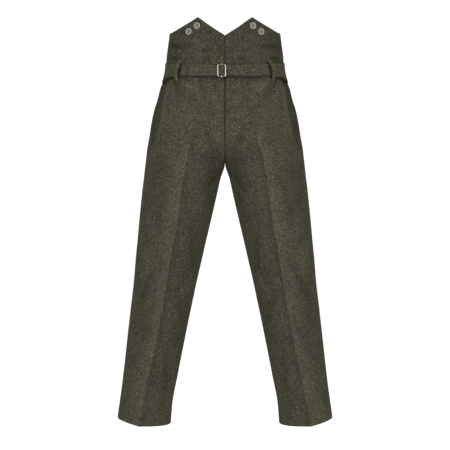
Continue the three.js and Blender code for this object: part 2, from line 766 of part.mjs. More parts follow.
const buttonShape = buttonGeometry();
const BUTTON_ROWS = [
  { prefix: 'brace_button_back', seats: BACK_BRACE_BUTTONS, atBack: true },
  { prefix: 'brace_button_front', seats: FRONT_BRACE_BUTTONS, atBack: false },
];
for (const { prefix, seats, atBack } of BUTTON_ROWS) {
  let number = 1;
  for (const side of [-1, 1]) {
    for (const seat of seats) {
      const button = addPiece(`${prefix}_${number}`, buttonShape.clone(), FINISHES.button);
      seatOnPanel(button, seat.height, seat.across, side, atBack, REST_GAP);
      number += 1;
    }
  }
}
const waistButton = addPiece('waist_button', buttonShape.clone(), FINISHES.button);
const waistButtonLift = FLY.lift + FLY.lapRise / 2 + REST_GAP;
seatOnPanel(waistButton, WAIST_BUTTON.height, WAIST_BUTTON.across, -1, false, waistButtonLift);

export default trousers;
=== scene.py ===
"""Uniform trousers seen from the back: heavy heathered wool, fishtail back, cinch strap and brace buttons.

The cut is worked out in millimetres in the part's own frame (Z up, back towards -Y, the wearer's left
towards -X, origin at the middle of the waist) and every mesh is scaled to metres when it is finished.
"""
import logging
import math
from dataclasses import dataclass, fields
from enum import Enum
from typing import Optional, Sequence, Union

import bmesh
import bpy
import numpy as np
from mathutils import Matrix, Vector


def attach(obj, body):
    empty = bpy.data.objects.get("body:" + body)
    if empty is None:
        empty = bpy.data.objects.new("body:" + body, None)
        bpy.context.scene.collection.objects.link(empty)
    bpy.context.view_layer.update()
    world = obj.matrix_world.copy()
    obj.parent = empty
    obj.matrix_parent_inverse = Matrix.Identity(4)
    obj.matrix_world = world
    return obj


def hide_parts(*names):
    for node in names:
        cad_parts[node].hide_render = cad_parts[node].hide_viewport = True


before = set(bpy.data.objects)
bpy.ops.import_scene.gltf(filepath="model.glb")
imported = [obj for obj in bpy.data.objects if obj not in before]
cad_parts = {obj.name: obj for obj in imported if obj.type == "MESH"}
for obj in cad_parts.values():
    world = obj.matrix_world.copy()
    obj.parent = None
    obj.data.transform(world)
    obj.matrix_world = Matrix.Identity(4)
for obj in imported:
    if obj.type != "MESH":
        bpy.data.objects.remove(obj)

logging.basicConfig(level=logging.INFO, format="%(message)s")
LOG = logging.getLogger("trousers")

MM = 0.001
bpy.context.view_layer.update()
Array = np.ndarray
Pair = tuple[Array, Array]
Span = tuple[float, float]
# Neutral value of the light and shade painted on each piece: above it the colour is painted lighter, below it
# darker.
NEUTRAL_SHADING = 0.5


class Side(Enum):
    """Side of the wearer, as the sign of X."""

    LEFT = -1
    RIGHT = 1

    @property
    def word(self) -> str:
        """Name used in piece and node names."""
        return self.name.lower()


class Face(Enum):
    """Back or front of the trousers, as the sign of Y."""

    BACK = -1
    FRONT = 1

    @property
    def word(self) -> str:
        """Name used in piece and node names."""
        return self.name.lower()


# Cloth sizes.
CLOTH_THICKNESS = 2.0
SEAM_GAP = 0.002
SEAM_SHIFT = 0.05
REST_GAP = 0.5

# Heights of the places that the cut turns on.
CROTCH = -256.0
SEAT_TURN = -150.0
YOKE_START = 30.0
HEM = -959.5
HEM_BEND_TOP = -600.0
HEM_RISE_OUTWARD = 0.128
HEM_RISE_FORWARD = 0.0625
OVAL_END = -70.0
ARCS_START = -245.0
OVAL_POWER = 2.3
RISE_POWER = 2.3
SEAT_BLEND_POWER = 4.0
HALF_RING_LENGTH = 290.0


@dataclass(frozen=True)
class Row:
    """Half section of the trousers at one level.

    outer and inner are the half widths of the outline, crease is how far out the pressed crease lies,
    seat and belly are the depths on the crease behind and before the side line, back and front the
    depths on the centre seam, fold the arc in degrees that meets the crease, seam the place of the side
    seam round the half ring.
    """

    level: float
    outer: float
    inner: float
    crease: float
    seat: float
    belly: float
    back: float
    front: float
    fold: float
    seam: float


CUT_ROWS = (
    Row(135, 151, 0, 73, 97, 94, 99, 94, 90, -0.18),
    Row(96, 152.5, 0, 73, 98, 95, 100, 95, 90, -0.18),
    Row(60, 156.7, 0, 74, 100, 98, 102, 98, 90, -0.18),
    Row(30, 160.7, 0, 75, 102, 100, 104, 100, 90, -0.18),
    Row(0, 161.8, 0, 76, 105, 103, 106, 103, 90, -0.19),
    Row(-33, 170, 0, 77, 112, 107, 111, 107, 90, -0.2),
    Row(-50, 177.2, 0, 77, 116, 110, 114, 109, 90, -0.21),
    Row(-82, 185.4, 0, 78, 123, 114, 120, 111, 90, -0.215),
    Row(-115, 195.5, 0, 79, 130, 117, 124, 111, 90, -0.23),
    Row(-148, 202.5, 0, 81, 133, 118, 125, 108, 90, -0.23),
    Row(-181, 207.4, 0, 84, 133, 118, 125, 108, 88, -0.21),
    Row(-214, 213, 0, 90, 131, 116, 125, 108, 84, -0.16),
    Row(-256, 218.3, 0, 102, 126, 113, 125, 108, 78, -0.07),
    Row(-300, 223, 12.6, 110, 120, 110, 0, 0, 70, -0.03),
    Row(-343, 228.5, 22, 116, 116, 107, 0, 0, 65, -0.03),
    Row(-426, 236.8, 41.3, 128, 108, 101, 0, 0, 60, -0.03),
    Row(-508, 244.6, 60.5, 143, 102, 97, 0, 0, 57, -0.03),
    Row(-591, 251.8, 79.5, 157, 98, 94, 0, 0, 55, -0.03),
    Row(-673, 261.2, 96.8, 171.5, 95, 91, 0, 0, 54, -0.03),
    Row(-756, 270.6, 113.6, 186.5, 93, 90, 0, 0, 53, -0.03),
    Row(-838, 279.9, 129.7, 205.5, 91, 88, 0, 0, 53, -0.03),
    Row(-921, 291, 145, 221.5, 89, 86, 0, 0, 53, -0.03),
    Row(-990, 301.5, 150, 235, 88, 86, 0, 0, 53, -0.03),
)


@dataclass(frozen=True)
class EdgePoint:
    """Height of an edge at a distance out from the middle."""

    across: float
    height: float


BACK_TOP = (
    EdgePoint(0, 78.5),
    EdgePoint(36, 102),
    EdgePoint(66, 124),
    EdgePoint(73, 128.5),
    EdgePoint(80, 124.5),
    EdgePoint(100, 113.8),
    EdgePoint(120, 104.8),
    EdgePoint(140, 96.5),
    EdgePoint(155, 94.3),
)
FRONT_TOP = (
    EdgePoint(0, 78),
    EdgePoint(60, 82),
    EdgePoint(118, 91),
    EdgePoint(146, 95.6),
    EdgePoint(155, 94.3),
)


@dataclass(frozen=True)
class MainFold:
    """Large soft fold: its middle, its height and width, how it leans with the level, and its lift."""

    level: float
    around: float
    tall: float
    wide: float
    lean: float
    lift: float


# Largest folds, which the solids have too.
MAIN_FOLDS = (
    MainFold(-48, -0.36, 26, 14, 0.0022, -3.0),
    MainFold(-64, -0.47, 34, 20, 0.002, 2.0),
    MainFold(-212, -0.72, 46, 22, 0.0016, -2.4),
    MainFold(-300, -0.78, 70, 20, 0.0006, -3.0),
    MainFold(-330, -0.24, 90, 26, 0.0, -2.5),
    MainFold(-575, -0.7, 70, 24, -0.0008, -3.0),
    MainFold(-640, -0.26, 90, 26, 0.0006, -3.0),
    MainFold(-880, -0.74, 60, 20, 0.0, -3.0),
    MainFold(-215, 0.74, 50, 24, -0.0018, -3.5),
    MainFold(-300, 0.3, 90, 28, 0.0, -2.5),
    MainFold(-590, 0.72, 80, 24, 0.0, -3.0),
    MainFold(-870, 0.28, 70, 22, 0.0, -3.0),
)


@dataclass(frozen=True)
class Crease:
    """One soft fold: a bowed course over the cloth from one place to another.

    Levels are heights, arounds are places round the half ring, bow is how far its middle is pushed
    down-slope of the straight course, wide its half width and lift its height, below 0 for a trough.
    """

    level: float
    around: float
    to_level: float
    to_around: float
    wide: float
    lift: float
    bow: float = 0.0


# A fold fades out over this many half widths past its ends, and has this share of its lift there.
FOLD_FADE = 1.5
FOLD_END = 0.35

# Finer creases, placed one by one.
FINE_FOLDS = (
    # Short creases over the strap, where the waist is drawn in.
    Crease(25, -0.19, 23, -0.33, 3.6, -3.2, 1),
    Crease(61, -0.17, 51, -0.36, 7, -2.4, 2),
    Crease(38, -0.56, 44, -0.72, 5, -2.6, 4),
    Crease(26, -0.5, 27, -0.86, 5, 1.5, -2),
    Crease(58, -0.36, 54, -0.47, 6, -1.5, 3),
    Crease(20, -0.62, 18, -0.82, 4, -1.9, 2),
    # Folds that hang from the lower edge of the strap.
    Crease(-31, -0.295, -52, -0.32, 4, -2.6, 1),
    Crease(-44, -0.31, -82, -0.41, 5, -1.9, 3),
    Crease(-34, -0.36, -70, -0.5, 7, 1.3, 3),
    Crease(-34, -0.58, -80, -0.64, 8, -1.1, 2),
    Crease(-36, -0.72, -92, -0.8, 9, 0.9, 3),
    Crease(-40, -0.88, -110, -0.93, 7, -0.8, 0),
    Crease(-60, -0.27, -120, -0.3, 5, -1.2, 2),
    # Drag lines from the seat into the crotch.
    Crease(-150, -0.6, -226, -0.86, 10, -0.8, 8),
    Crease(-186, -0.55, -246, -0.8, 8, 0.7, 6),
    Crease(-214, -0.5, -262, -0.74, 8, -0.9, 5),
    Crease(-262, -0.94, -330, -0.72, 9, -1.5, -5),
    Crease(-285, -0.9, -372, -0.66, 9, 1.2, -6),
    # Long quiet folds down the back of the leg.
    Crease(-300, -0.4, -470, -0.34, 12, -1.2, 3),
    Crease(-430, -0.64, -560, -0.84, 12, -1.3, 6),
    Crease(-520, -0.4, -640, -0.24, 12, -1.5, -5),
    Crease(-560, -0.8, -650, -0.6, 10, 1.2, 4),
    Crease(-610, -0.62, -700, -0.84, 11, -1.4, 5),
    Crease(-700, -0.42, -830, -0.3, 12, -1.1, 4),
    Crease(-760, -0.62, -880, -0.72, 11, -1.1, 0),
    Crease(-860, -0.3, -945, -0.2, 10, -1.4, 3),
    # Front.
    Crease(30, 0.3, 24, 0.42, 6, -1.2, 3),
    Crease(-70, 0.2, -150, 0.34, 10, -1.4, 4),
    Crease(-150, 0.5, -236, 0.86, 9, -1.8, 7),
    Crease(-176, 0.42, -250, 0.78, 9, 1.4, 6),
    Crease(-222, 0.5, -268, 0.82, 8, -1.6, 5),
    Crease(-270, 0.92, -350, 0.66, 9, -1.4, -5),
    Crease(-420, 0.64, -540, 0.8, 12, -1.2, 4),
    Crease(-550, 0.62, -590, 0.84, 8, 1.4, 3),
    Crease(-590, 0.3, -660, 0.16, 10, -1.5, -4),
    Crease(-640, 0.6, -720, 0.78, 11, -1.3, 3),
    Crease(-780, 0.4, -900, 0.22, 12, -1.3, 4),
    Crease(-850, 0.62, -940, 0.76, 10, -1.2, 3),
)


@dataclass(frozen=True)
class Ridge:
    """Raised edge of the back panel along the side seam and the hollow before it."""

    top: float = -26.0
    bottom: float = -215.0
    fade: float = 40.0
    height: float = 2.6
    behind_seam: float = 0.02
    width: float = 0.04
    hollow: float = 3.4
    hollow_ahead: float = 0.1
    hollow_width: float = 0.055


@dataclass(frozen=True)
class HipStrip:
    """Shaded strip before the side seam at the hip: where it starts and ends, upwards and round."""

    bottom: Span = (-300.0, -190.0)
    top: Span = (-44.0, -28.0)
    near: Span = (-0.02, 0.0)
    far: Span = (0.08, 0.26)


@dataclass(frozen=True)
class StrapPull:
    """How the strap draws the cloth in, and the painted shadow lines below and above its edges."""

    below: Span = (-7.0, -1.0)
    above: Span = (0.5, 3.0)
    free: Span = (118.0, 150.0)
    line_below: float = 2.2
    line_width: float = 3.2
    line_gain: float = 1.6
    line_side: Span = (132.0, 158.0)
    soft: float = 0.4
    soft_below: float = 8.0
    soft_width: float = 6.5
    upper: float = 0.62
    upper_above: float = 0.6
    upper_width: float = 1.7


@dataclass(frozen=True)
class Calm:
    """Where the relief dies away: at the side line, and at the seams from just above the crotch down."""

    side_width: float = 0.06
    side_share: float = 0.8
    seam_width: float = 0.05
    above_crotch: float = 60.0


@dataclass(frozen=True)
class Press:
    """Pressed crease: how far it stands out, how fast it falls away, where it ends and the painted light and
    shade beside it.
    """

    height: float = 2.4
    width: float = 9.0
    fade: float = 70.0
    back_top: float = -158.0
    front_top: float = 20.0
    lit: float = 0.049
    lit_width: float = 26.0
    shaded: float = 0.185
    shaded_width: float = 8.0
    turn: float = 1.2


@dataclass(frozen=True)
class Wave:
    """One run of quiet unevenness over the cloth, as a plane wave in millimetres."""

    length: float
    heading: float
    height: float
    start: float


WAVES = (
    Wave(152, 0.4, 0.55, 0.3),
    Wave(97, 1.9, 0.4, 1.7),
    Wave(61, 2.6, 0.28, 4.1),
    Wave(43, 0.9, 0.2, 2.2),
    Wave(29, 1.4, 0.12, 5.2),
)


def smooth_step(start: float, end: float, value: Array) -> Array:
    """Smooth rise from 0 at start to 1 at end."""
    share = even_rise(start, end, value)
    return share * share * (3 - 2 * share)


def even_rise(start: float, end: float, value: Array) -> Array:
    """Straight rise from 0 at start to 1 at end."""
    return np.clip((np.asarray(value, dtype=float) - start) / (end - start), 0.0, 1.0)


def bell(away: Array, width: float) -> Array:
    """Bell that is 1 in the middle and falls away over a width."""
    return np.exp(-((away / width) ** 2))


def spread_out(level: Array, around: Array) -> Pair:
    """Levels and places round the half ring as arrays of one shape."""
    return np.broadcast_arrays(np.asarray(level, float), np.asarray(around, float))


def lengths(points: Array) -> Array:
    """Distance of each point along the course that they make."""
    return np.concatenate([[0.0], np.cumsum(np.linalg.norm(np.diff(points, axis=0), axis=1))])


class Curve:
    """Smooth curve through rising places with no overshoot between them."""

    def __init__(self, places: Sequence[float], values: Sequence[float]) -> None:
        """Keeps the points in rising order and works out their slopes.

        Args:
            places: where the values are given.
            values: one value for each place.
        """
        order = np.argsort(places)
        self.places = np.asarray(places, dtype=float)[order]
        self.values = np.asarray(values, dtype=float)[order]
        secants = np.diff(self.values) / np.diff(self.places)
        before = secants[:-1]
        after = secants[1:]
        product = before * after
        total = np.where(before + after == 0, 1.0, before + after)
        inner = np.where(product <= 0, 0.0, 2 * product / total)
        self.slopes = np.concatenate([secants[:1], inner, secants[-1:]])

    @classmethod
    def through(cls, rows: Sequence, place: str, value: str) -> "Curve":
        """Curve through two named columns of a table."""
        return cls([getattr(row, place) for row in rows], [getattr(row, value) for row in rows])

    def __call__(self, place: Array) -> Array:
        """Works out the curve, held at its end values outside its places.

        Args:
            place: where the value is wanted.

        Returns:
            The value at each place.
        """
        inside = np.clip(np.asarray(place, dtype=float), self.places[0], self.places[-1])
        index = np.clip(np.searchsorted(self.places, inside) - 1, 0, len(self.places) - 2)
        span = self.places[index + 1] - self.places[index]
        t = (inside - self.places[index]) / span
        low = self.values[index]
        high = self.values[index + 1]
        bend = t * t * (3 - 2 * t)
        leave = t * (1 - t) ** 2 * span * self.slopes[index]
        arrive = t * t * (t - 1) * span * self.slopes[index + 1]
        return low + (high - low) * bend + leave + arrive


@dataclass(frozen=True)
class StrapEdge:
    """Edges of the cinch strap, as heights, at a distance out."""

    across: float
    upper: float
    lower: float


STRAP_EDGES = (
    StrapEdge(0, -1.4, -31.4),
    StrapEdge(60, 1, -31),
    StrapEdge(120, 6.3, -28.5),
    StrapEdge(150, 12, -29.8),
    StrapEdge(157, 14.5, -33.5),
    StrapEdge(163, 16, -36.5),
    StrapEdge(180, 16, -37),
)


def strap_edges(across: Array) -> Pair:
    """Heights of the strap's upper and lower edge at a distance out."""
    upper, lower = (Curve.through(STRAP_EDGES, "across", name)(across) for name in ("upper", "lower"))
    return upper, lower


class Cut:
    """The cut of one half of the trousers, as a surface over level and place round the half ring.

    A place round the half ring is -1 on the back seam, -0.5 on the crease of the back, 0 on the side
    line, 0.5 on the crease of the front and 1 on the front seam.
    """

    ridge = Ridge()
    hip = HipStrip()
    pull = StrapPull()
    calm = Calm()
    press = Press()
    ring_samples = 400
    arc_samples = 900
    arc_end = 0.6

    def __init__(self) -> None:
        """Reads the tables of the cut into curves."""
        self.curves = {column.name: Curve.through(CUT_ROWS, "level", column.name) for column in fields(Row)}
        tops = {Face.BACK: BACK_TOP, Face.FRONT: FRONT_TOP}
        self.tops = {face: Curve.through(table, "across", "height") for face, table in tops.items()}

    def seam_rise(self, level: Array, full: Array) -> Array:
        """Works out the depth of the centre seam, which curves in to nothing at the crotch.

        Args:
            level: heights.
            full: depth of the seam above its turn.

        Returns:
            Its depth at each level.
        """
        drop = np.clip((SEAT_TURN - level) / (SEAT_TURN - CROTCH), 0.0, 1.0)
        depth = full * np.maximum(1 - drop**RISE_POWER, 0.0) ** (1 / RISE_POWER)
        return np.where(level <= CROTCH, 0.0, depth)

    def section(self, level: Array, around: Array) -> Array:
        """Works out points of the plain section, outward positive.

        Args:
            level: heights.
            around: places round the half ring.

        Returns:
            Points with X outward, Y forward and Z up in the last axis.
        """
        level, around = spread_out(level, around)
        behind = around < 0
        share = np.abs(around)
        outer = self.curves["outer"](level)
        inner = np.where(level < CROTCH, self.curves["inner"](level), 0.0)
        crease = self.curves["crease"](level)
        depth = np.where(behind, self.curves["seat"](level), self.curves["belly"](level))
        full = np.where(behind, self.curves["back"](level), self.curves["front"](level))
        centre = self.seam_rise(level, full)
        fold = np.radians(self.curves["fold"](level))

        crease_angle = np.arccos((crease / outer) ** (OVAL_POWER / 2))
        near = crease_angle * share * 2
        far = crease_angle + (np.pi / 2 - crease_angle) * (share - 0.5) * 2
        angle = np.where(share < 0.5, near, far)
        oval_x = outer * np.maximum(np.cos(angle), 0.0) ** (2 / OVAL_POWER)
        oval_y = centre * np.maximum(np.sin(angle), 0.0) ** (2 / OVAL_POWER)

        on_outer = share <= 0.5
        turn = fold * np.where(on_outer, share, 1 - share) * 2
        run = (1 - np.cos(turn)) / (1 - np.cos(fold))
        reach = np.sin(turn) / np.sin(fold)
        arc_x = np.where(on_outer, outer - (outer - crease) * run, inner + (crease - inner) * run)
        power = SEAT_BLEND_POWER
        seat = (centre**power * (1 - reach**power) + (depth * reach) ** power) ** (1 / power)
        arc_y = np.where(on_outer, depth * reach, seat)

        leg = 1 - smooth_step(ARCS_START, OVAL_END, level)
        x = oval_x + (arc_x - oval_x) * leg
        y = oval_y + (arc_y - oval_y) * leg
        return np.stack([x, np.where(behind, -y, y), level], axis=-1)

    def relief_parts(self, level: Array, around: Array) -> Pair:
        """Works out how far the cloth stands out from its plain section.

        Args:
            level: heights.
            around: places round the half ring.

        Returns:
            The large soft part of the relief and its fine folds and creases.
        """
        level, around = spread_out(level, around)
        out = np.zeros(level.shape)
        for fold in MAIN_FOLDS:
            up = (level - fold.level) / fold.tall
            over = (around - fold.around - fold.lean * (level - fold.level)) * HALF_RING_LENGTH / fold.wide
            out += fold.lift * np.exp(-(up**2) - over**2)
        ahead = around - self.curves["seam"](level)
        ridge = self.ridge
        strength = smooth_step(ridge.bottom, ridge.bottom + ridge.fade, level)
        strength = strength * (1 - smooth_step(ridge.top - ridge.fade, ridge.top, level))
        raised = ridge.height * bell(ahead + ridge.behind_seam, ridge.width)
        hollow = ridge.hollow * bell(ahead - ridge.hollow_ahead, ridge.hollow_width)
        out += strength * (raised - hollow)
        fine = sum(self.fold_height(fold, level, around) for fold in FINE_FOLDS)
        away = np.abs(np.abs(around) - 0.5) * HALF_RING_LENGTH
        out += self.press.height * self.press_strength(level, around) * np.exp(-away / self.press.width)
        across = around * HALF_RING_LENGTH
        for wave in WAVES:
            phase = (across * math.cos(wave.heading) + level * math.sin(wave.heading)) / wave.length
            out += wave.height * np.sin(2 * np.pi * phase + wave.start)
        # Nothing moves the outline or the seams of the crotch.
        calm = self.calm
        edge = 1 - bell(1 - np.abs(around), calm.seam_width)
        keep = 1 - bell(around, calm.side_width) * calm.side_share
        keep = keep * np.where(level < CROTCH + calm.above_crotch, edge, 1.0)
        return out * keep, fine * keep

    def hip_strip(self, level: Array, around: Array) -> Array:
        """Finds the shaded strip before the side seam at the hip.

        Args:
            level: heights.
            around: places round the half ring.

        Returns:
            Its share from 0 to 1.
        """
        strength = smooth_step(*self.hip.bottom, level) * (1 - smooth_step(*self.hip.top, level))
        ahead = around - self.curves["seam"](level)
        return strength * smooth_step(*self.hip.near, ahead) * (1 - smooth_step(*self.hip.far, ahead))

    def press_strength(self, level: Array, around: Array) -> Array:
        """Share of the pressed crease, which fades out to its top at the back and the front."""
        top = np.where(around < 0, self.press.back_top, self.press.front_top)
        return 1 - smooth_step(0, self.press.fade, level - top + self.press.fade)

    def press_shade(self, level: Array, around: Array) -> Array:
        """Paints light on the stretch outside the pressed crease and shade on the stretch inside it.

        Args:
            level: heights.
            around: places round the half ring.

        Returns:
            What is added to the cloth's painted light and shade.
        """
        press = self.press
        away = (0.5 - np.abs(around)) * HALF_RING_LENGTH
        outside = smooth_step(-press.turn, press.turn, away)
        lit = press.lit * bell(np.maximum(away, 0), press.lit_width) * outside
        shaded = press.shaded * np.exp(np.minimum(away, 0) / press.shaded_width) * (1 - outside)
        return self.press_strength(level, around) * (lit - shaded)

    def strap_hollow(self, level: Array, around: Array) -> Pair:
        """Finds where the strap draws the cloth in and where its shadow lines lie.

        Args:
            level: heights.
            around: places round the half ring.

        Returns:
            The shares of the hollow and of the shadow lines.
        """
        level, around = spread_out(level, around)
        pull = self.pull
        across = self.section(level, around)[..., 0]
        upper, lower = strap_edges(across)
        held = smooth_step(lower + pull.below[0], lower + pull.below[1], level)
        held = held * (1 - smooth_step(upper + pull.above[0], upper + pull.above[1], level))
        near = (1 - smooth_step(*pull.free, across)) * (around < 0)
        gain = 1 + pull.line_gain * smooth_step(*pull.line_side, across)
        deep = bell(level - lower + pull.line_below, pull.line_width) * gain
        soft = pull.soft * bell(level - lower + pull.soft_below, pull.soft_width)
        above = pull.upper * bell(level - upper - pull.upper_above, pull.upper_width)
        return held * near, (deep + soft + above) * (around < 0)

    @staticmethod
    def fold_height(fold: Crease, level: Array, around: Array) -> Array:
        """Works out the height of one fine fold.

        Args:
            fold: the fold.
            level: heights.
            around: places round the half ring.

        Returns:
            Its height at each place.
        """
        start = np.array([fold.around * HALF_RING_LENGTH, fold.level])
        end = np.array([fold.to_around * HALF_RING_LENGTH, fold.to_level])
        course = end - start
        length = float(np.hypot(*course))
        along_x, along_y = course / length
        u = around * HALF_RING_LENGTH - start[0]
        v = level - start[1]
        along = (u * along_x + v * along_y) / length
        off = -u * along_y + v * along_x
        inside = np.clip(along, 0, 1)
        hump = 4 * inside * (1 - inside)
        past = np.maximum(np.maximum(-along, along - 1), 0.0) * length / (FOLD_FADE * fold.wide)
        taper = FOLD_END + (1 - FOLD_END) * hump
        return fold.lift * taper * np.exp(-(((off - fold.bow * hump) / fold.wide) ** 2) - past**2)

    def outward(self, level: Array, around: Array) -> Array:
        """Works out outward unit directions of the plain section, by small differences.

        Args:
            level: heights.
            around: places round the half ring.

        Returns:
            One direction for each place.
        """
        step_up = 2.0
        step_round = 0.006
        low = np.maximum(around - step_round, -1.0)
        high = np.minimum(around + step_round, 1.0)
        across = self.section(level, high) - self.section(level, low)
        up = self.section(level + step_up, around) - self.section(level - step_up, around)
        out = np.cross(across, up)
        return out / np.linalg.norm(out, axis=-1, keepdims=True)

    def surface(self, level: Array, around: Array) -> Pair:
        """Works out points on the finished cloth.

        Args:
            level: heights.
            around: places round the half ring.

        Returns:
            The points and their outward directions.
        """
        level, around = spread_out(level, around)
        out = self.outward(level, around)
        broad, fine = self.relief_parts(level, around)
        return self.section(level, around) + out * (broad + fine)[..., None], out

    def around_at(self, level: float, across: float, face: Face) -> float:
        """Finds the place round the half ring that lies a given distance out.

        Args:
            level: the height.
            across: the distance out.
            face: back or front.

        Returns:
            The place.
        """
        places = np.linspace(0, 1, self.ring_samples) * face.value
        points = self.section(level, places)
        order = np.argsort(points[:, 0])
        return float(np.interp(across, points[order, 0], places[order]))

    def arc_places(self, level: float) -> Pair:
        """Places round the half ring and their distance along the cloth from the back seam."""
        places = np.linspace(-1, self.arc_end, self.arc_samples)
        return places, lengths(self.section(level, places))


CUT = Cut()


def mirrored(points: Array, side: Side) -> Array:
    """Points with X outward, put on the given side of the wearer."""
    return points * np.array([side.value, 1.0, 1.0])


def rounded_section(steps: int, flatness: float, depth: float) -> Pair:
    """Goes round the section of a flat strip with rounded edges.

    Args:
        steps: how many steps go round it.
        flatness: power of its places across, lower for squarer edges.
        depth: power of its places through.

    Returns:
        Places across and through it, from -1 to 1, the first one repeated at the end.
    """
    turn = np.linspace(0, 2 * np.pi, steps + 1)
    across = np.sign(np.cos(turn)) * np.abs(np.cos(turn)) ** flatness
    through = np.sign(np.sin(turn)) * np.abs(np.sin(turn)) ** depth
    return across, through


@dataclass
class Weaver:
    """Lays the mesh of a grid operator over a worked-out surface.

    points holds one row of points for each row of the grid, uv the cloth's own map in millimetres and
    the last array the light and shade painted on the piece. A closed one is a strip whose first and last
    columns meet, with caps.
    """

    name: str
    points: Array
    uv: Array
    rub: Array
    closed: bool = False
    merge: float = 0.01

    def build(self) -> bpy.types.Object:
        """Lays the grid over the points.

        Returns:
            The new object, in metres, with its faces pointing out.
        """
        rows, columns = self.points.shape[:2]
        bm = bmesh.new()
        bmesh.ops.create_grid(bm, x_segments=columns - 1, y_segments=rows - 1, size=1.0)
        layer = bm.loops.layers.uv.new("cloth")
        # Layer that carries the light and shade painted on the piece.
        rubbed = bm.verts.layers.float.new("rub")
        where = {}
        for vert in bm.verts:
            column = round((vert.co.x + 1) / 2 * (columns - 1))
            row = round((vert.co.y + 1) / 2 * (rows - 1))
            where[vert] = (row, column)
        for bm_face in bm.faces:
            for loop in bm_face.loops:
                loop[layer].uv = self.uv[where[loop.vert]] * MM
        for vert, place in where.items():
            vert.co = self.points[place]
            vert[rubbed] = self.rub[place]
        if self.closed:
            bmesh.ops.remove_doubles(bm, verts=bm.verts[:], dist=self.merge)
            bmesh.ops.holes_fill(bm, edges=[edge for edge in bm.edges if edge.is_boundary])
            bmesh.ops.recalc_face_normals(bm, faces=bm.faces[:])
        return object_from(bm, self.name)


def thicken(piece: bpy.types.Object, thickness: float) -> None:
    """Gives a sheet its thickness on the inner side, with closed edges.

    Args:
        piece: the sheet.
        thickness: how thick it becomes, in millimetres.
    """
    solid = piece.modifiers.new("thickness", "SOLIDIFY")
    solid.thickness = thickness * MM
    solid.offset = -1.0
    solid.use_even_offset = False
    solid.use_rim = True


def linked(name: str, data: bpy.types.ID) -> bpy.types.Object:
    """Makes an object of some data and puts it in the scene.

    Args:
        name: its name.
        data: its mesh, camera or light.

    Returns:
        The object.
    """
    made = bpy.data.objects.new(name, data)
    bpy.context.collection.objects.link(made)
    return made


def object_from(bm: bmesh.types.BMesh, name: str, smooth: bool = True) -> bpy.types.Object:
    """Makes an object in metres from a bmesh in millimetres and frees the bmesh.

    Args:
        bm: the bmesh.
        name: name of the object and its mesh.
        smooth: whether its faces are shaded smooth.

    Returns:
        The object.
    """
    bmesh.ops.scale(bm, vec=(MM, MM, MM), verts=bm.verts[:])
    mesh = bpy.data.meshes.new(name)
    bm.to_mesh(mesh)
    bm.free()
    if smooth:
        mesh.shade_smooth()
    return linked(name, mesh)


def finish_piece(piece: bpy.types.Object, finish: bpy.types.Material, node: str = "") -> None:
    """Gives a piece its finish, its body and the CAD node that it stands for.

    Args:
        piece: the piece.
        finish: its material.
        node: the CAD node, where it stands for one.
    """
    piece.data.materials.append(finish)
    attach(piece, "root")
    if node:
        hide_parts(node)


Number = Union[int, float]


class Wire:
    """A shader socket that takes part in sums."""

    def __init__(self, shader: "Shader", socket: bpy.types.NodeSocket) -> None:
        """Keeps the socket and the shader that it belongs to."""
        self.shader = shader
        self.socket = socket

    def maths(self, operation: str, first: "Term", second: "Term") -> "Wire":
        """Adds one Math node over two terms."""
        return self.shader.node("ShaderNodeMath", {"operation": operation}, {0: first, 1: second})

    def __add__(self, other: "Term") -> "Wire":
        """Sum."""
        return self.maths("ADD", self, other)

    def __radd__(self, other: "Term") -> "Wire":
        """Sum with the term on the left."""
        return self.maths("ADD", other, self)

    def __sub__(self, other: "Term") -> "Wire":
        """Difference."""
        return self.maths("SUBTRACT", self, other)

    def __rsub__(self, other: "Term") -> "Wire":
        """Difference from the term on the left."""
        return self.maths("SUBTRACT", other, self)

    def __mul__(self, other: "Term") -> "Wire":
        """Product."""
        return self.maths("MULTIPLY", self, other)

    def __rmul__(self, other: "Term") -> "Wire":
        """Product with the term on the left."""
        return self.maths("MULTIPLY", other, self)


Term = Union[Wire, Number]
Setting = Union[str, Number, bool, Sequence]


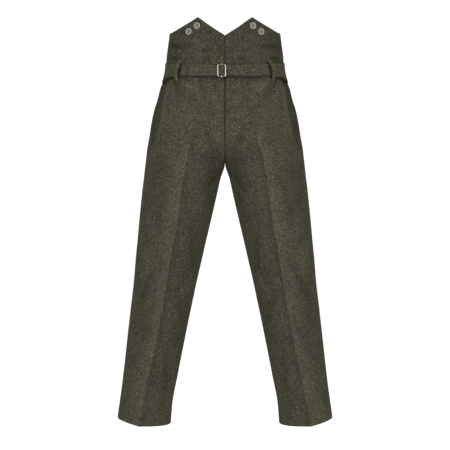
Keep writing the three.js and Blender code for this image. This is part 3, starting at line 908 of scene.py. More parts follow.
class Shader:
    """A material and the nodes that are added to it."""

    def __init__(self, name: str) -> None:
        """Makes an empty node material with a Principled shader.

        Args:
            name: name of the material.
        """
        self.material = bpy.data.materials.new(name)
        self.material.use_nodes = True
        self.nodes = self.material.node_tree.nodes
        self.links = self.material.node_tree.links
        self.surface = self.nodes["Principled BSDF"]

    def node(
        self,
        kind: str,
        settings: Optional[dict[str, Setting]] = None,
        inputs: Optional[dict[Union[int, str], Union[Term, Sequence]]] = None,
        output: Union[int, str] = 0,
    ) -> Wire:
        """Adds one node.

        Args:
            kind: the node's type.
            settings: its options, set first.
            inputs: values or wires for its sockets.
            output: which of its sockets is returned.

        Returns:
            The chosen output.
        """
        node = self.nodes.new(kind)
        for key, value in (settings or {}).items():
            setattr(node, key, value)
        for key, value in (inputs or {}).items():
            if isinstance(value, Wire):
                self.links.new(value.socket, node.inputs[key])
            else:
                node.inputs[key].default_value = value
        return Wire(self, node.outputs[output])

    def place(self) -> Wire:
        """Place on the object."""
        return self.node("ShaderNodeTexCoord", {}, {}, "Object")

    def rub(self) -> Wire:
        """Light and shade painted on the piece, read from its own points."""
        return self.node("ShaderNodeAttribute", {"attribute_name": "rub"}, {}, "Fac")

    def mix(self, share: Term, low: Union[Wire, Sequence], high: Union[Wire, Sequence]) -> Wire:
        """Mixes two colours by a share."""
        settings = {"data_type": "RGBA", "blend_type": "MIX"}
        return self.node("ShaderNodeMix", settings, {0: share, 6: low, 7: high}, 2)

    def noise(self, vector: Wire, scale: float, detail: float = 2.0, roughness: float = 0.5) -> Wire:
        """Noise value over a vector."""
        values = {"Vector": vector, "Scale": scale, "Detail": detail, "Roughness": roughness}
        return self.node("ShaderNodeTexNoise", {}, values, 0)

    def ramp(self, value: Wire, span: Span) -> Wire:
        """Value spread from 0 at the first limit to 1 at the second, held between them."""
        limits = {"Value": value, "From Min": span[0], "From Max": span[1], "To Min": 0.0, "To Max": 1.0}
        return self.node("ShaderNodeMapRange", {"clamp": True}, limits, 0)

    def set(self, **constants: Union[Number, Sequence]) -> None:
        """Sets constant values on the surface's own sockets; underscores stand for spaces."""
        for key, value in constants.items():
            self.surface.inputs[key.replace("_", " ")].default_value = value

    def drive(self, name: str, wire: Wire) -> None:
        """Links a wire to one of the surface's sockets."""
        self.links.new(wire.socket, self.surface.inputs[name])

    def bump(self, height: Wire, distance: float, strength: float, normal: Optional[Wire] = None) -> Wire:
        """Adds a bump node.

        Args:
            height: the height that it shows.
            distance: how high that is, in metres.
            strength: how strongly it shows.
            normal: a bump that it comes on top of.

        Returns:
            The bumped normal.
        """
        inputs: dict = {"Height": height, "Distance": distance, "Strength": strength}
        if normal is not None:
            inputs["Normal"] = normal
        return self.node("ShaderNodeBump", {}, inputs, 0)


Colour = tuple[float, float, float, float]


@dataclass(frozen=True)
class Fibres:
    """Short fibres that lie one way over the cloth, as stretched noise."""

    turn: float
    along: float
    across: float
    detail: float = 3.0
    roughness: float = 0.6

    def over(self, shader: Shader, cloth: Wire) -> Wire:
        """Lays the fibres over the cloth.

        Args:
            shader: the material.
            cloth: the cloth's own map, in metres.

        Returns:
            The fibre value.
        """
        turn = (0, 0, math.radians(self.turn))
        values = {"Vector": cloth, "Rotation": turn, "Scale": (self.along, self.across, 1.0)}
        laid = shader.node("ShaderNodeMapping", {"vector_type": "POINT"}, values)
        return shader.noise(laid, 1.0, self.detail, self.roughness)


@dataclass(frozen=True)
class WoolFinish:
    """Heavy heathered wool in twill weave, with a short nap.

    The pairs are the limits between which each noise goes from nothing to all, and the shares say how
    strongly it then shows.
    """

    name: str
    base: Colour = (0.0166, 0.0156, 0.0104, 1.0)
    dark: Colour = (0.0028, 0.0026, 0.0016, 1.0)
    light: Colour = (0.063, 0.0605, 0.0465, 1.0)
    green: Colour = (0.0122, 0.0150, 0.0098, 1.0)
    brown: Colour = (0.0212, 0.0158, 0.0102, 1.0)
    fibres: Fibres = Fibres(24.0, 330.0, 1500.0)
    crossing: Fibres = Fibres(-41.0, 1300.0, 300.0)
    patch_scale: float = 170.0
    fleck_scale: float = 300.0
    cloud_scale: float = 16.0
    mottle_scale: float = 115.0
    tint: Span = (0.38, 0.62)
    tint_share: float = 0.7
    deep: Span = (0.51, 0.38)
    pale: Span = (0.53, 0.66)
    pale_share: float = 0.72
    fluff: Span = (0.52, 0.68)
    fluff_share: float = 0.5
    worn: Span = (0.48, 0.32)
    worn_share: float = 0.6
    cloud: Span = (0.35, 0.7)
    cloud_share: float = 0.05
    mottle: Span = (0.32, 0.68)
    mottle_share: float = 0.2
    mottle_low: float = 0.9
    rub_gain: float = 2.1
    rub_least: float = 0.08
    twill_pitch: float = 1.6
    twill_turn: float = 63.0
    wave_scale: float = 6.5
    twill_height: float = 0.00012
    nap_height: float = 0.0006
    roughness: float = 0.92
    sheen: Colour = (0.8, 0.74, 0.52, 1.0)

    def colour(self, shader: Shader, flecks: Wire, fibres: Wire, crossing: Wire) -> Wire:
        """Mixes the colour of the wool.

        Args:
            shader: the material.
            flecks: noise of the flecks.
            fibres: value of the fibres that lie one way.
            crossing: value of the fibres that cross them.

        Returns:
            The colour, darkened and lightened by the shade and light painted on the piece.
        """
        place = shader.place()
        patches = shader.noise(place, self.patch_scale, 3.0)
        clouds = shader.noise(place, self.cloud_scale, 3.0)
        tint = shader.mix(shader.ramp(patches, self.tint), self.green, self.brown)
        body = shader.mix(self.tint_share, self.base, tint)
        deep = shader.mix(shader.ramp(flecks, self.deep), body, self.dark)
        pale = shader.mix(shader.ramp(flecks, self.pale) * self.pale_share, deep, self.light)
        fluff = shader.mix(shader.ramp(fibres, self.fluff) * self.fluff_share, pale, self.light)
        worn = shader.mix(shader.ramp(crossing, self.worn) * self.worn_share, fluff, self.dark)
        even = shader.mix(shader.ramp(clouds, self.cloud) * self.cloud_share, worn, self.light)
        mottle = shader.ramp(shader.noise(place, self.mottle_scale), self.mottle)
        mottle = mottle * self.mottle_share + self.mottle_low
        # Painted light and shade: the piece's painted value scales the colour up or down.
        lit = (shader.rub() - NEUTRAL_SHADING) * self.rub_gain + 1.0
        share = shader.node("ShaderNodeMath", {"operation": "MAXIMUM"}, {0: lit, 1: self.rub_least})
        scaled = {"Vector": even, "Scale": share * mottle}
        return shader.node("ShaderNodeVectorMath", {"operation": "SCALE"}, scaled)

    def ribs(self, shader: Shader, cloth: Wire) -> Wire:
        """Adds the diagonal ribs of the twill.

        Args:
            shader: the material.
            cloth: the cloth's own map, in metres.

        Returns:
            Their height.
        """
        turn = (0, 0, math.radians(self.twill_turn))
        laid = {"Vector": cloth, "Rotation": turn}
        turned = shader.node("ShaderNodeMapping", {"vector_type": "POINT"}, laid)
        scale = 1000.0 / self.twill_pitch / self.wave_scale
        settings = {"wave_type": "BANDS", "bands_direction": "X", "wave_profile": "SIN"}
        values = {"Vector": turned, "Scale": scale, "Distortion": 1.2, "Detail": 1.0}
        return shader.node("ShaderNodeTexWave", settings, values, 1)

    def make(self) -> bpy.types.Material:
        """Builds the material.

        Returns:
            The finished node material, which reads the piece's own cloth map.
        """
        shader = Shader(self.name)
        cloth = shader.node("ShaderNodeUVMap", {"uv_map": "cloth"})
        flecks = shader.noise(shader.place(), self.fleck_scale, 6.0, 0.74)
        fibres = self.fibres.over(shader, cloth)
        crossing = self.crossing.over(shader, cloth)
        shader.drive("Base Color", self.colour(shader, flecks, fibres, crossing))
        weave = shader.bump(self.ribs(shader, cloth), self.twill_height, 0.5)
        fuzz = flecks * 0.5 + (fibres + crossing) * 0.3
        shader.drive("Normal", shader.bump(fuzz, self.nap_height, 0.8, weave))
        shader.set(Roughness=self.roughness, Sheen_Weight=0.015, Sheen_Roughness=0.5)
        shader.set(Sheen_Tint=self.sheen, Specular_IOR_Level=0.0)
        return shader.material


@dataclass(frozen=True)
class MetalFinish:
    """Nickel plate, bright and lightly worn."""

    name: str
    base: Colour = (0.34, 0.315, 0.275, 1.0)
    dull: Colour = (0.20, 0.178, 0.145, 1.0)
    tarnish: Colour = (0.085, 0.075, 0.057, 1.0)
    wear_scale: float = 900.0
    scratch_scale: float = 3200.0
    wear: Span = (0.48, 0.72)
    roughness: float = 0.22
    wear_roughness: float = 0.22
    tarnish_roughness: float = 0.25
    scratch_height: float = 0.00004

    def make(self) -> bpy.types.Material:
        """Builds the material.

        Returns:
            The finished material, bright where a highlight is painted on the piece and painted dim elsewhere.
        """
        shader = Shader(self.name)
        place = shader.place()
        wear = shader.noise(place, self.wear_scale, 4.0, 0.7)
        scratches = shader.noise(place, self.scratch_scale, 2.0, 0.8)
        rub = shader.rub()
        bright = shader.mix(shader.ramp(wear, self.wear), self.base, self.dull)
        # Painted highlight where the piece's painted value is high; painted dim colour and more roughness
        # where it is low, as on the rails and the middle bar.
        shader.drive("Base Color", shader.mix(rub, self.tarnish, bright))
        uneven = self.roughness + wear * self.wear_roughness
        shader.drive("Roughness", uneven + (1.0 - rub) * self.tarnish_roughness)
        shader.drive("Normal", shader.bump(scratches, self.scratch_height, 0.6))
        shader.set(Metallic=1.0)
        return shader.material


@dataclass(frozen=True)
class ButtonFinish:
    """Pressed grey button material, slightly shiny and unevenly coloured."""

    name: str
    base: Colour = (0.135, 0.133, 0.128, 1.0)
    dark: Colour = (0.050, 0.049, 0.045, 1.0)
    dish: Colour = (0.040, 0.039, 0.035, 1.0)
    swirl_scale: float = 420.0
    grain_scale: float = 2400.0
    swirl: Span = (0.4, 0.8)
    swirl_share: float = 0.6
    roughness: float = 0.46
    grain_roughness: float = 0.18
    grain_height: float = 0.00003

    def make(self) -> bpy.types.Material:
        """Builds the material.

        Returns:
            The finished material, with painted shade in the dish and a paler rim.
        """
        shader = Shader(self.name)
        place = shader.place()
        swirl = shader.noise(place, self.swirl_scale, 3.0, 0.6)
        grain = shader.noise(place, self.grain_scale, 2.0, 0.6)
        rim = shader.mix(shader.ramp(swirl, self.swirl) * self.swirl_share, self.base, self.dark)
        # Painted shade in the dish; the rim keeps its lighter colour.
        shader.drive("Base Color", shader.mix(shader.rub(), self.dish, rim))
        shader.drive("Roughness", self.roughness + grain * self.grain_roughness)
        shader.drive("Normal", shader.bump(grain, self.grain_height, 0.5))
        shader.set(Specular_IOR_Level=0.3)
        return shader.material


@dataclass(frozen=True)
class ThreadFinish:
    """Twisted sewing thread."""

    name: str
    base: Colour = (0.030, 0.029, 0.022, 1.0)
    light: Colour = (0.075, 0.072, 0.055, 1.0)
    ply_scale: float = 2600.0
    ply: Span = (0.4, 0.7)
    ply_height: float = 0.0001
    roughness: float = 0.7

    def make(self) -> bpy.types.Material:
        """Builds the material.

        Returns:
            The finished material.
        """
        shader = Shader(self.name)
        ply = shader.noise(shader.place(), self.ply_scale, 2.0, 0.6)
        shader.drive("Base Color", shader.mix(shader.ramp(ply, self.ply), self.base, self.light))
        shader.drive("Normal", shader.bump(ply, self.ply_height, 0.7))
        shader.set(Roughness=self.roughness)
        return shader.material


@dataclass(frozen=True)
class FloorFinish:
    """Pale studio floor."""

    name: str
    base: Colour = (0.96, 0.96, 0.96, 1.0)
    shade: Colour = (0.9, 0.9, 0.9, 1.0)
    tone_scale: float = 1.5
    tone_share: float = 0.1
    roughness: float = 0.9

    def make(self) -> bpy.types.Material:
        """Builds the material.

        Returns:
            The finished material.
        """
        shader = Shader(self.name)
        tone = shader.noise(shader.place(), self.tone_scale)
        shader.drive("Base Color", shader.mix(tone * self.tone_share, self.base, self.shade))
        shader.set(Roughness=self.roughness)
        return shader.material


@dataclass(frozen=True)
class Finishes:
    """The finished materials, shared by the pieces."""

    wool: bpy.types.Material
    metal: bpy.types.Material
    button: bpy.types.Material
    thread: bpy.types.Material


def spread(cells: int) -> list[float]:
    """Shares of a stretch, closer together at its ends, with a few very close steps at each end.

    Args:
        cells: how many even steps there are.

    Returns:
        Rising shares from 0 to just under 1.
    """
    even = np.arange(cells + 1) / cells
    rounded = 0.5 - 0.5 * np.cos(np.pi * even)
    near = [0.004, 0.009, 0.016]
    clear = 0.02
    between = [share for share in 0.65 * even + 0.35 * rounded if clear < share < 1 - clear]
    return [0.0] + near + between + [1 - share for share in reversed(near)]


@dataclass
class Panel:
    """One of the four main pieces of cloth, from hem to waist.

    The rolls, laps, lifts and widths are in millimetres and the levels are heights. The darks, shades and
    lights are painted shade and painted light, taken from or added to the light and shade painted on the
    cloth.
    """

    side: Side
    face: Face
    cells: int = 38
    side_cells: int = 10
    leg_rows: int = 190
    hip_rows: int = 92
    hip_even: float = 0.55
    hip_bent: float = 0.45
    hip_power: float = 2.2
    yoke_rows: int = 28
    slant_passes: int = 3
    yoke_passes: int = 6
    centre_from: float = 0.75
    seam_roll: float = 1.9
    seam_roll_width: float = 2.0
    seam_dark: float = 0.27
    side_seam_roll: float = 0.9
    side_seam_dark: float = 0.12
    seam_fade: float = 0.35
    seam_fade_levels: Span = (-10, 20)
    broad_rub: float = 0.025
    fine_rub: float = 0.075
    strap_draw: float = 1.9
    strap_shade: float = 0.21
    hip_shade: float = 0.125
    yoke_shade: float = 0.035
    yoke_levels: Span = (-6, 14)
    crotch_rub: float = 0.085
    crotch_middle: float = -222
    crotch_tall: float = 48
    crotch_round: Span = (0.6, 0.8)
    hem_rub: float = 0.065
    hem_depths: Span = (640, 940)
    fly_end: float = -202
    fly_bottom: float = -180
    fly_last_full: float = -152
    fly_lap: float = 6
    fly_lap_rise: float = 2.6
    fly_lap_width: float = 16
    fly_last_from: float = 0.985
    fly_underlap: float = 22
    fly_underlap_drop: float = 1.3
    fly_lift: float = 2.7
    fly_width: float = 31
    fly_before: float = 4
    fly_past: float = 6

    @property
    def name(self) -> str:
        """Name of the CAD node that this piece stands for."""
        return f"{self.face.word}_{self.side.word}"

    def knots(self, level: Array) -> list[Array]:
        """Finds the places round the half ring between which the columns are spread.

        Args:
            level: heights.

        Returns:
            One array of places for each end of a stretch.
        """
        seam = CUT.curves["seam"](level)
        if self.face is Face.BACK:
            return [np.full_like(level, -1.0), np.full_like(level, -0.5), seam]
        return [seam, np.zeros_like(level), np.full_like(level, 0.5), np.full_like(level, 1.0)]

    def columns(self) -> list[tuple[int, float]]:
        """Lists the columns.

        Returns:
            The stretch that each column lies in and its share of that stretch.
        """
        counts = [self.cells, self.cells]
        if self.face is Face.FRONT:
            counts.insert(0, self.side_cells)
        columns = []
        for stretch, count in enumerate(counts):
            columns += [(stretch, share) for share in spread(count)]
        columns.append((len(counts) - 1, 1.0))
        return columns

    def around(self, level: Array) -> Array:
        """Finds the place round the half ring of each column.

        Args:
            level: one row of heights for each row of the grid.

        Returns:
            The places, with the columns in the last axis.
        """
        knots = self.knots(level[..., 0])
        places = [knots[k] + (knots[k + 1] - knots[k]) * share for k, share in self.columns()]
        return np.stack(places, axis=-1)

    def levels(self) -> Pair:
        """Lists the rows.

        Returns:
            Levels of the leg and hip rows and shares of the yoke rows.
        """
        leg = CROTCH + (HEM - CROTCH) * (np.arange(self.leg_rows, 0, -1) / self.leg_rows)
        share = np.arange(self.hip_rows + 1) / self.hip_rows
        risen = self.hip_even * share + self.hip_bent * share**self.hip_power
        hip = CROTCH + (YOKE_START - CROTCH) * risen
        yoke = np.arange(1, self.yoke_rows + 1) / self.yoke_rows
        return np.concatenate([leg, hip]), yoke

    def widened(self, values: Array) -> Array:
        """One value for each row, repeated over all columns."""
        return np.repeat(values[:, None], len(self.columns()), axis=1)

    def slanted(self, level: Array) -> Array:
        """Works out the leg and hip rows, which slant towards the hem.

        Args:
            level: the rows' levels.

        Returns:
            Heights over the grid.
        """
        nominal = self.widened(level)
        middle = (CUT.curves["outer"](nominal) + CUT.curves["inner"](nominal)) / 2
        slant = smooth_step(-HEM_BEND_TOP, -HEM, -nominal)
        height = nominal.copy()
        for _ in range(self.slant_passes):
            place = CUT.section(height, self.around(height))
            rise = HEM_RISE_OUTWARD * (place[..., 0] - middle) + HEM_RISE_FORWARD * place[..., 1]
            height = nominal + slant * rise
        return height

    def yoke(self, shares: Array) -> Array:
        """Works out the rows that rise to the shaped upper edge.

        Args:
            shares: the rows' shares of the rise.

        Returns:
            Heights over the grid.
        """
        share = self.widened(shares)
        height = np.full(share.shape, YOKE_START)
        for _ in range(self.yoke_passes):
            place = CUT.section(height, self.around(height))
            edge = CUT.tops[self.face](place[..., 0])
            height = YOKE_START + (edge - YOKE_START) * share
        return height

    def lap(self, points: Array, out: Array) -> Array:
        """Laps the left front over the right one at the fly.

        Args:
            points: the front's points.
            out: their outward directions.

        Returns:
            The lapped points.
        """
        height = points[..., 2]
        reach = even_rise(self.fly_bottom, self.fly_last_full, height)
        last = smooth_step(self.fly_last_from, 1.0, self.around(height))
        if self.side is Side.RIGHT:
            points[..., 0] -= self.fly_underlap * reach * last
            points[..., 1] -= self.fly_underlap_drop * reach * last
            return points
        rise = smooth_step(self.fly_end, self.fly_bottom, height)
        edge = self.fly_width - self.fly_before
        near = 1 - smooth_step(edge, self.fly_width + self.fly_past, points[..., 0])
        points = points + out * (self.fly_lift * rise * near)[..., None]
        near_edge = 1 - smooth_step(0, self.fly_lap_width, points[..., 0])
        points[..., 1] += self.fly_lap_rise * 0.5 * reach * near_edge
        points[..., 0] -= self.fly_lap * reach * last
        points[..., 1] += self.fly_lap_rise * 0.5 * reach * last
        return points

    def part_seams(self, points: Array) -> Array:
        """Leaves the narrow gap at every seam.

        Args:
            points: the panel's points.

        Returns:
            The same points, drawn back from the seams.
        """
        half = SEAM_GAP / 2
        open_rows = points[:, 0, 2] > CROTCH - 0.5
        centre = 0 if self.face is Face.BACK else -1
        for edge, neighbour in ((0, 1), (-1, -2)):
            inward = points[:, neighbour] - points[:, edge]
            inward /= np.linalg.norm(inward, axis=1, keepdims=True)
            if edge == centre:
                points[~open_rows, edge] += inward[~open_rows] * half
            else:
                points[:, edge] += inward * half
        middle = half + SEAM_SHIFT * self.side.value
        points[open_rows, :, 0] = np.maximum(points[open_rows, :, 0], middle)
        points[open_rows, centre, 0] = middle
        return points

    def rubbed(self, height: Array, around: Array, relief: Array, seam: Array) -> Array:
        """Works out the light and shade painted on the cloth, which lightens and darkens it.

        Args:
            height: heights over the grid.
            around: places round the half ring.
            relief: painted shade and light that follow the folds.
            seam: share of the rolled seams.

        Returns:
            The painted light and shade from 0 to 1.
        """
        # Painted shadow lines below and above the strap's edges.
        _, under = CUT.strap_hollow(height, around)
        # Painted shade along the rolled seams, darker at the centre seam and fading towards the waist.
        centre = np.abs(around) > self.centre_from
        shade = np.where(centre, self.seam_dark, self.side_seam_dark) * seam
        shade = shade * (1 - self.seam_fade * smooth_step(*self.seam_fade_levels, height))
        # Painted light over the inner crotch and, growing downward, towards the hem.
        worn = self.crotch_rub * bell(height - self.crotch_middle, self.crotch_tall)
        worn = worn * smooth_step(*self.crotch_round, np.abs(around))
        worn = worn + self.hem_rub * smooth_step(*self.hem_depths, -height)
        rub = NEUTRAL_SHADING + relief - shade - self.strap_shade * under
        # Painted light outside each pressed crease and painted shade inside it.
        rub = rub + worn + CUT.press_shade(height, around)
        # Painted shade over the yoke, from just below the strap upward.
        rub = rub - self.yoke_shade * smooth_step(*self.yoke_levels, height)
        # Painted shade on the strip before the side seam at the hip.
        return np.clip(rub - self.hip_shade * CUT.hip_strip(height, around), 0, 1)

    def build(self) -> bpy.types.Object:
        """Builds the panel as a thin closed wall.

        Returns:
            The piece.
        """
        levels, shares = self.levels()
        height = np.vstack([self.slanted(levels), self.yoke(shares)])
        around = self.around(height)
        plain = CUT.section(height, around)
        out = np.cross(np.gradient(plain, axis=1), np.gradient(plain, axis=0))
        out /= np.maximum(np.linalg.norm(out, axis=-1, keepdims=True), 1e-9)
        steps = np.linalg.norm(np.diff(plain, axis=1), axis=-1)
        run = np.concatenate([np.zeros((len(plain), 1)), np.cumsum(steps, axis=1)], axis=1)
        seam = bell(np.minimum(run, run[:, -1:] - run), self.seam_roll_width)
        broad, fine = CUT.relief_parts(height, around)
        drawn, _ = CUT.strap_hollow(height, around)
        depth = np.where(np.abs(around) > self.centre_from, self.seam_roll, self.side_seam_roll)
        lift = broad + fine - depth * seam - self.strap_draw * drawn
        # Painted shade in the fold troughs and painted light on their ridges.
        rub = self.rubbed(height, around, broad * self.broad_rub + fine * self.fine_rub, seam)
        points = self.part_seams(plain + out * lift[..., None])
        if self.face is Face.FRONT:
            points = self.lap(points, out)
        uv = np.stack([run, height], axis=-1)
        if self.side is Side.LEFT:
            points, uv, rub = points[:, ::-1], uv[:, ::-1], rub[:, ::-1]
        piece = Weaver(self.name + "_cloth", mirrored(points, self.side), uv, rub).build()
        thicken(piece, CLOTH_THICKNESS)
        return piece

    def dress(self, piece: bpy.types.Object, finishes: Finishes) -> None:
        """Gives the panel its finish, its body and its cut.

        Args:
            piece: the panel.
            finishes: the shared materials.
        """
        finish_piece(piece, finishes.wool, self.name)


@dataclass(frozen=True)
class Station:
    """Place on the strap's course: distance along the waist and lift of its inner face."""

    along: float
    lift: float


# Course of the strap's left half round the middle bar, from the middle of the buckle.
STRAP_WRAP = (
    Station(-4.2, 3.4),
    Station(-3.6, 5.0),
    Station(-1.6, 5.5),
    Station(1.6, 5.5),
    Station(3.4, 5.0),
    Station(4.9, 2.4),
    Station(6.6, 0.7),
    Station(9, 0.5),
)


@dataclass(frozen=True)
class LoopStation:
    """Place on a belt loop's course and the lift of its inner face."""

    height: float
    across: float
    lift: float


LOOP_WIDTH = 10.0
LOOP_COURSE = (
    LoopStation(-40, 130, 0.5),
    LoopStation(-36, 130, 1),
    LoopStation(-30, 129.8, 3.4),
    LoopStation(-23, 129.3, 5.2),
    LoopStation(-14, 128, 6.2),
    LoopStation(-4, 125.5, 5.4),
    LoopStation(5, 122.2, 4),
    LoopStation(11, 119.5, 1.8),
    LoopStation(16, 117, 0.5),
)

LOOP_ACROSS = Curve.through(LOOP_COURSE, "height", "across")
LOOP_LIFT = Curve.through(LOOP_COURSE, "height", "lift")


def loop_inner_edge(level: Array) -> Array:
    """How far out the inner edge of a belt loop lies at each level."""
    return LOOP_ACROSS(level) - LOOP_WIDTH / 2


@dataclass
class CinchStrap:
    """One half of the strap across the back, from the buckle to its sewn end at the side.

    It stands a little away from the cloth over its free stretch, and its edges hug the cloth there.
    """

    side: Side
    thickness: float = 2.2
    buckle_middle: float = 8.9
    right_start: float = -2.0
    right_flat: float = 6.0
    left_flat: float = 24.0
    end_along: float = 222.0
    side_lift: float = 3.0
    free_from: Span = (128, 160)
    sewn_stretch: float = 188
    sewn_end: float = 4
    lower_hug: float = 0.6
    upper_hug: float = 0.85
    near_step: float = 0.7
    step: float = 2.4
    section_steps: int = 44
    section_flatness: float = 0.3
    section_depth: float = 0.6
    course_level: float = -15.0
    last_edge_along: float = 200.0
    last_edge_across: float = 180.0
    upper_trim: float = 2.6
    lower_trim: float = -1.1
    wrap_lift: Span = (1.2, 3.4)
    wrap_reach: float = 30.0
    quilt_height: float = 0.12
    quilt_length: float = 7.0
    sewn_at: float = 0.82
    sewn_depth: float = 0.956
    sewn_from: float = 22.0
    end_row: float = 9.0
    end_points: int = 12
    even_rub: float = 0.545
    edge_shade: float = 0.17
    edge_power: float = 6
    loop_shade: float = 0.5
    loop_shade_out: float = 1.6
    loop_shade_width: float = 2.8

    @property
    def name(self) -> str:
        """Name of the CAD node that this piece stands for."""
        return f"belt_{self.side.word}"

    def course(self) -> list[Station]:
        """Lists the stations near the buckle.

        Returns:
            Stations of the strap's inner face, from the buckle outwards.
        """
        if self.side is Side.RIGHT:
            return [Station(self.right_start, REST_GAP), Station(self.right_flat, REST_GAP)]
        wrap = [Station(self.buckle_middle + place.along, place.lift) for place in STRAP_WRAP]
        return wrap + [Station(self.left_flat, REST_GAP)]

    def sewn_share(self, along: Array) -> Array:
        """Share of the sewn end, which lies flat again."""
        return smooth_step(self.sewn_stretch, self.end_along - self.sewn_end, along)

    def lift_at(self, along: Array) -> Array:
        """Lift of the inner face over the long run to the side."""
        free = smooth_step(*self.free_from, along)
        return REST_GAP + self.side_lift * free * (1 - self.sewn_share(along))

    def line(self) -> Pair:
        """Works out the strap's course.

        Returns:
            Distance along the waist and lift of the inner face, closely spaced.
        """
        near = np.array([(place.along, place.lift) for place in self.course()])
        steps = np.concatenate([[0.0], np.cumsum(np.hypot(*np.diff(near, axis=0).T))])
        fine = np.arange(0, steps[-1], self.near_step)
        along = Curve(steps, near[:, 0])(fine)
        lift = Curve(steps, near[:, 1])(fine)
        far = np.arange(near[-1, 0], self.end_along + 0.1, self.step)
        return np.concatenate([along, far]), np.concatenate([lift, self.lift_at(far)])

    def edges(self, along: Array, lift: Array) -> Pair:
        """Works out the levels of the strap's edges, which draw in where it wraps the bar.

        Args:
            along: distances along the waist.
            lift: lift of the inner face at each of them.

        Returns:
            Levels of the upper and the lower edge.
        """
        places, arcs = CUT.arc_places(self.course_level)
        across = np.abs(along)
        seat = CUT.section(self.course_level, np.interp(across, arcs, places))[:, 0]
        upper, lower = strap_edges(np.where(across > self.last_edge_along, self.last_edge_across, seat))
        wrapped = smooth_step(*self.wrap_lift, lift) * (across < self.wrap_reach)
        return upper - self.upper_trim * wrapped, lower + self.lower_trim * wrapped

    def hug(self, reach: Array, flat: Array) -> Array:
        """Works out how much closer the strap's edges lie to the cloth over its free stretch.

        Args:
            reach: distances along the waist.
            flat: places across the section.

        Returns:
            What is taken from the lift.
        """
        held = self.lower_hug * (1 - flat) / 2 + self.upper_hug * np.clip(flat, 0, 1)
        free = smooth_step(*self.free_from, reach)
        return (self.side_lift - REST_GAP) * free * held * (1 - self.sewn_share(reach))

    def laid(
        self, along: Array, lift: Array, flat: Array, deep: Array
    ) -> tuple[Array, Array, Array, Array]:
        """Lays the strap's section along its course over the cloth.

        Args:
            along: distances along the waist.
            lift: lift of the inner face at each of them.
            flat: places across the section, -1 on its lower and 1 on its upper edge.
            deep: places through it, 0 on its inner and 1 on its outer face.

        Returns:
            Points, outward directions, distances along the waist and levels, one row for each distance.
        """
        course = np.stack([along, lift], axis=-1)
        heading = np.gradient(course, axis=0)
        heading /= np.linalg.norm(heading, axis=1, keepdims=True)
        normal = np.stack([-heading[:, 1], heading[:, 0]], axis=-1)
        upper, lower = self.edges(along, lift)
        level = lower[:, None] + (upper - lower)[:, None] * (flat + 1)[None, :] / 2
        drawn = course[:, None, :] + normal[:, None, :] * (deep * self.thickness)[None, :, None]
        reach = drawn[..., 0]
        quilt = self.quilt_height * np.sin(along / self.quilt_length)[:, None] * (1 - np.abs(flat))[None, :]
        places, arcs = CUT.arc_places(self.course_level)
        point, out = CUT.surface(level, np.interp(np.abs(reach), arcs, places))
        point = point + out * (drawn[..., 1] + quilt * deep - self.hug(reach, flat))[..., None]
        point[..., 0] *= np.sign(np.where(reach == 0, 1.0, reach))
        return point, out, reach, level

    def build(self) -> bpy.types.Object:
        """Builds the strap as one closed strip.

        Returns:
            The piece.
        """
        along, lift = self.line()
        flat, through = rounded_section(self.section_steps, self.section_flatness, self.section_depth)
        point, _, reach, level = self.laid(along, lift, flat, (through + 1) / 2)
        uv = np.stack([reach, level], axis=-1)
        # Painted shade along the strap's edges and a painted shadow on the strap beside each belt loop's
        # inner edge; the strap as a whole is painted a little lighter than the panels.
        edge = np.abs(flat)[None, :] ** self.edge_power
        past = point[..., 0] - loop_inner_edge(level)
        beside = bell(past + self.loop_shade_out, self.loop_shade_width)
        rub = self.even_rub - self.edge_shade * edge - self.loop_shade * beside
        return Weaver(self.name + "_cloth", mirrored(point, self.side), uv, rub, closed=True).build()

    def sewing(self) -> "Stitching":
        """Lays out the strap's stitching.

        Returns:
            Two rows of stitches along its edges and a short row at its sewn end.
        """
        along, lift = self.line()
        kept = along > self.sewn_from
        rows = np.array([-self.sewn_at, self.sewn_at])
        point, out, _, _ = self.laid(along[kept], lift[kept], rows, np.full(2, self.sewn_depth))
        ends = np.linspace(-self.sewn_at, self.sewn_at, self.end_points)
        last = along > self.end_along - self.end_row
        depth = np.full(self.end_points, self.sewn_depth)
        end, end_out, _, _ = self.laid(along[last], lift[last], ends, depth)
        courses = [(point[:, 0], out[:, 0]), (point[:, 1], out[:, 1]), (end[1], end_out[1])]
        return Stitching(self.name + "_stitching", self.side, courses)

    def dress(self, piece: bpy.types.Object, finishes: Finishes) -> None:
        """Gives the strap its finish, its body and its cut."""
        finish_piece(piece, finishes.wool, self.name)


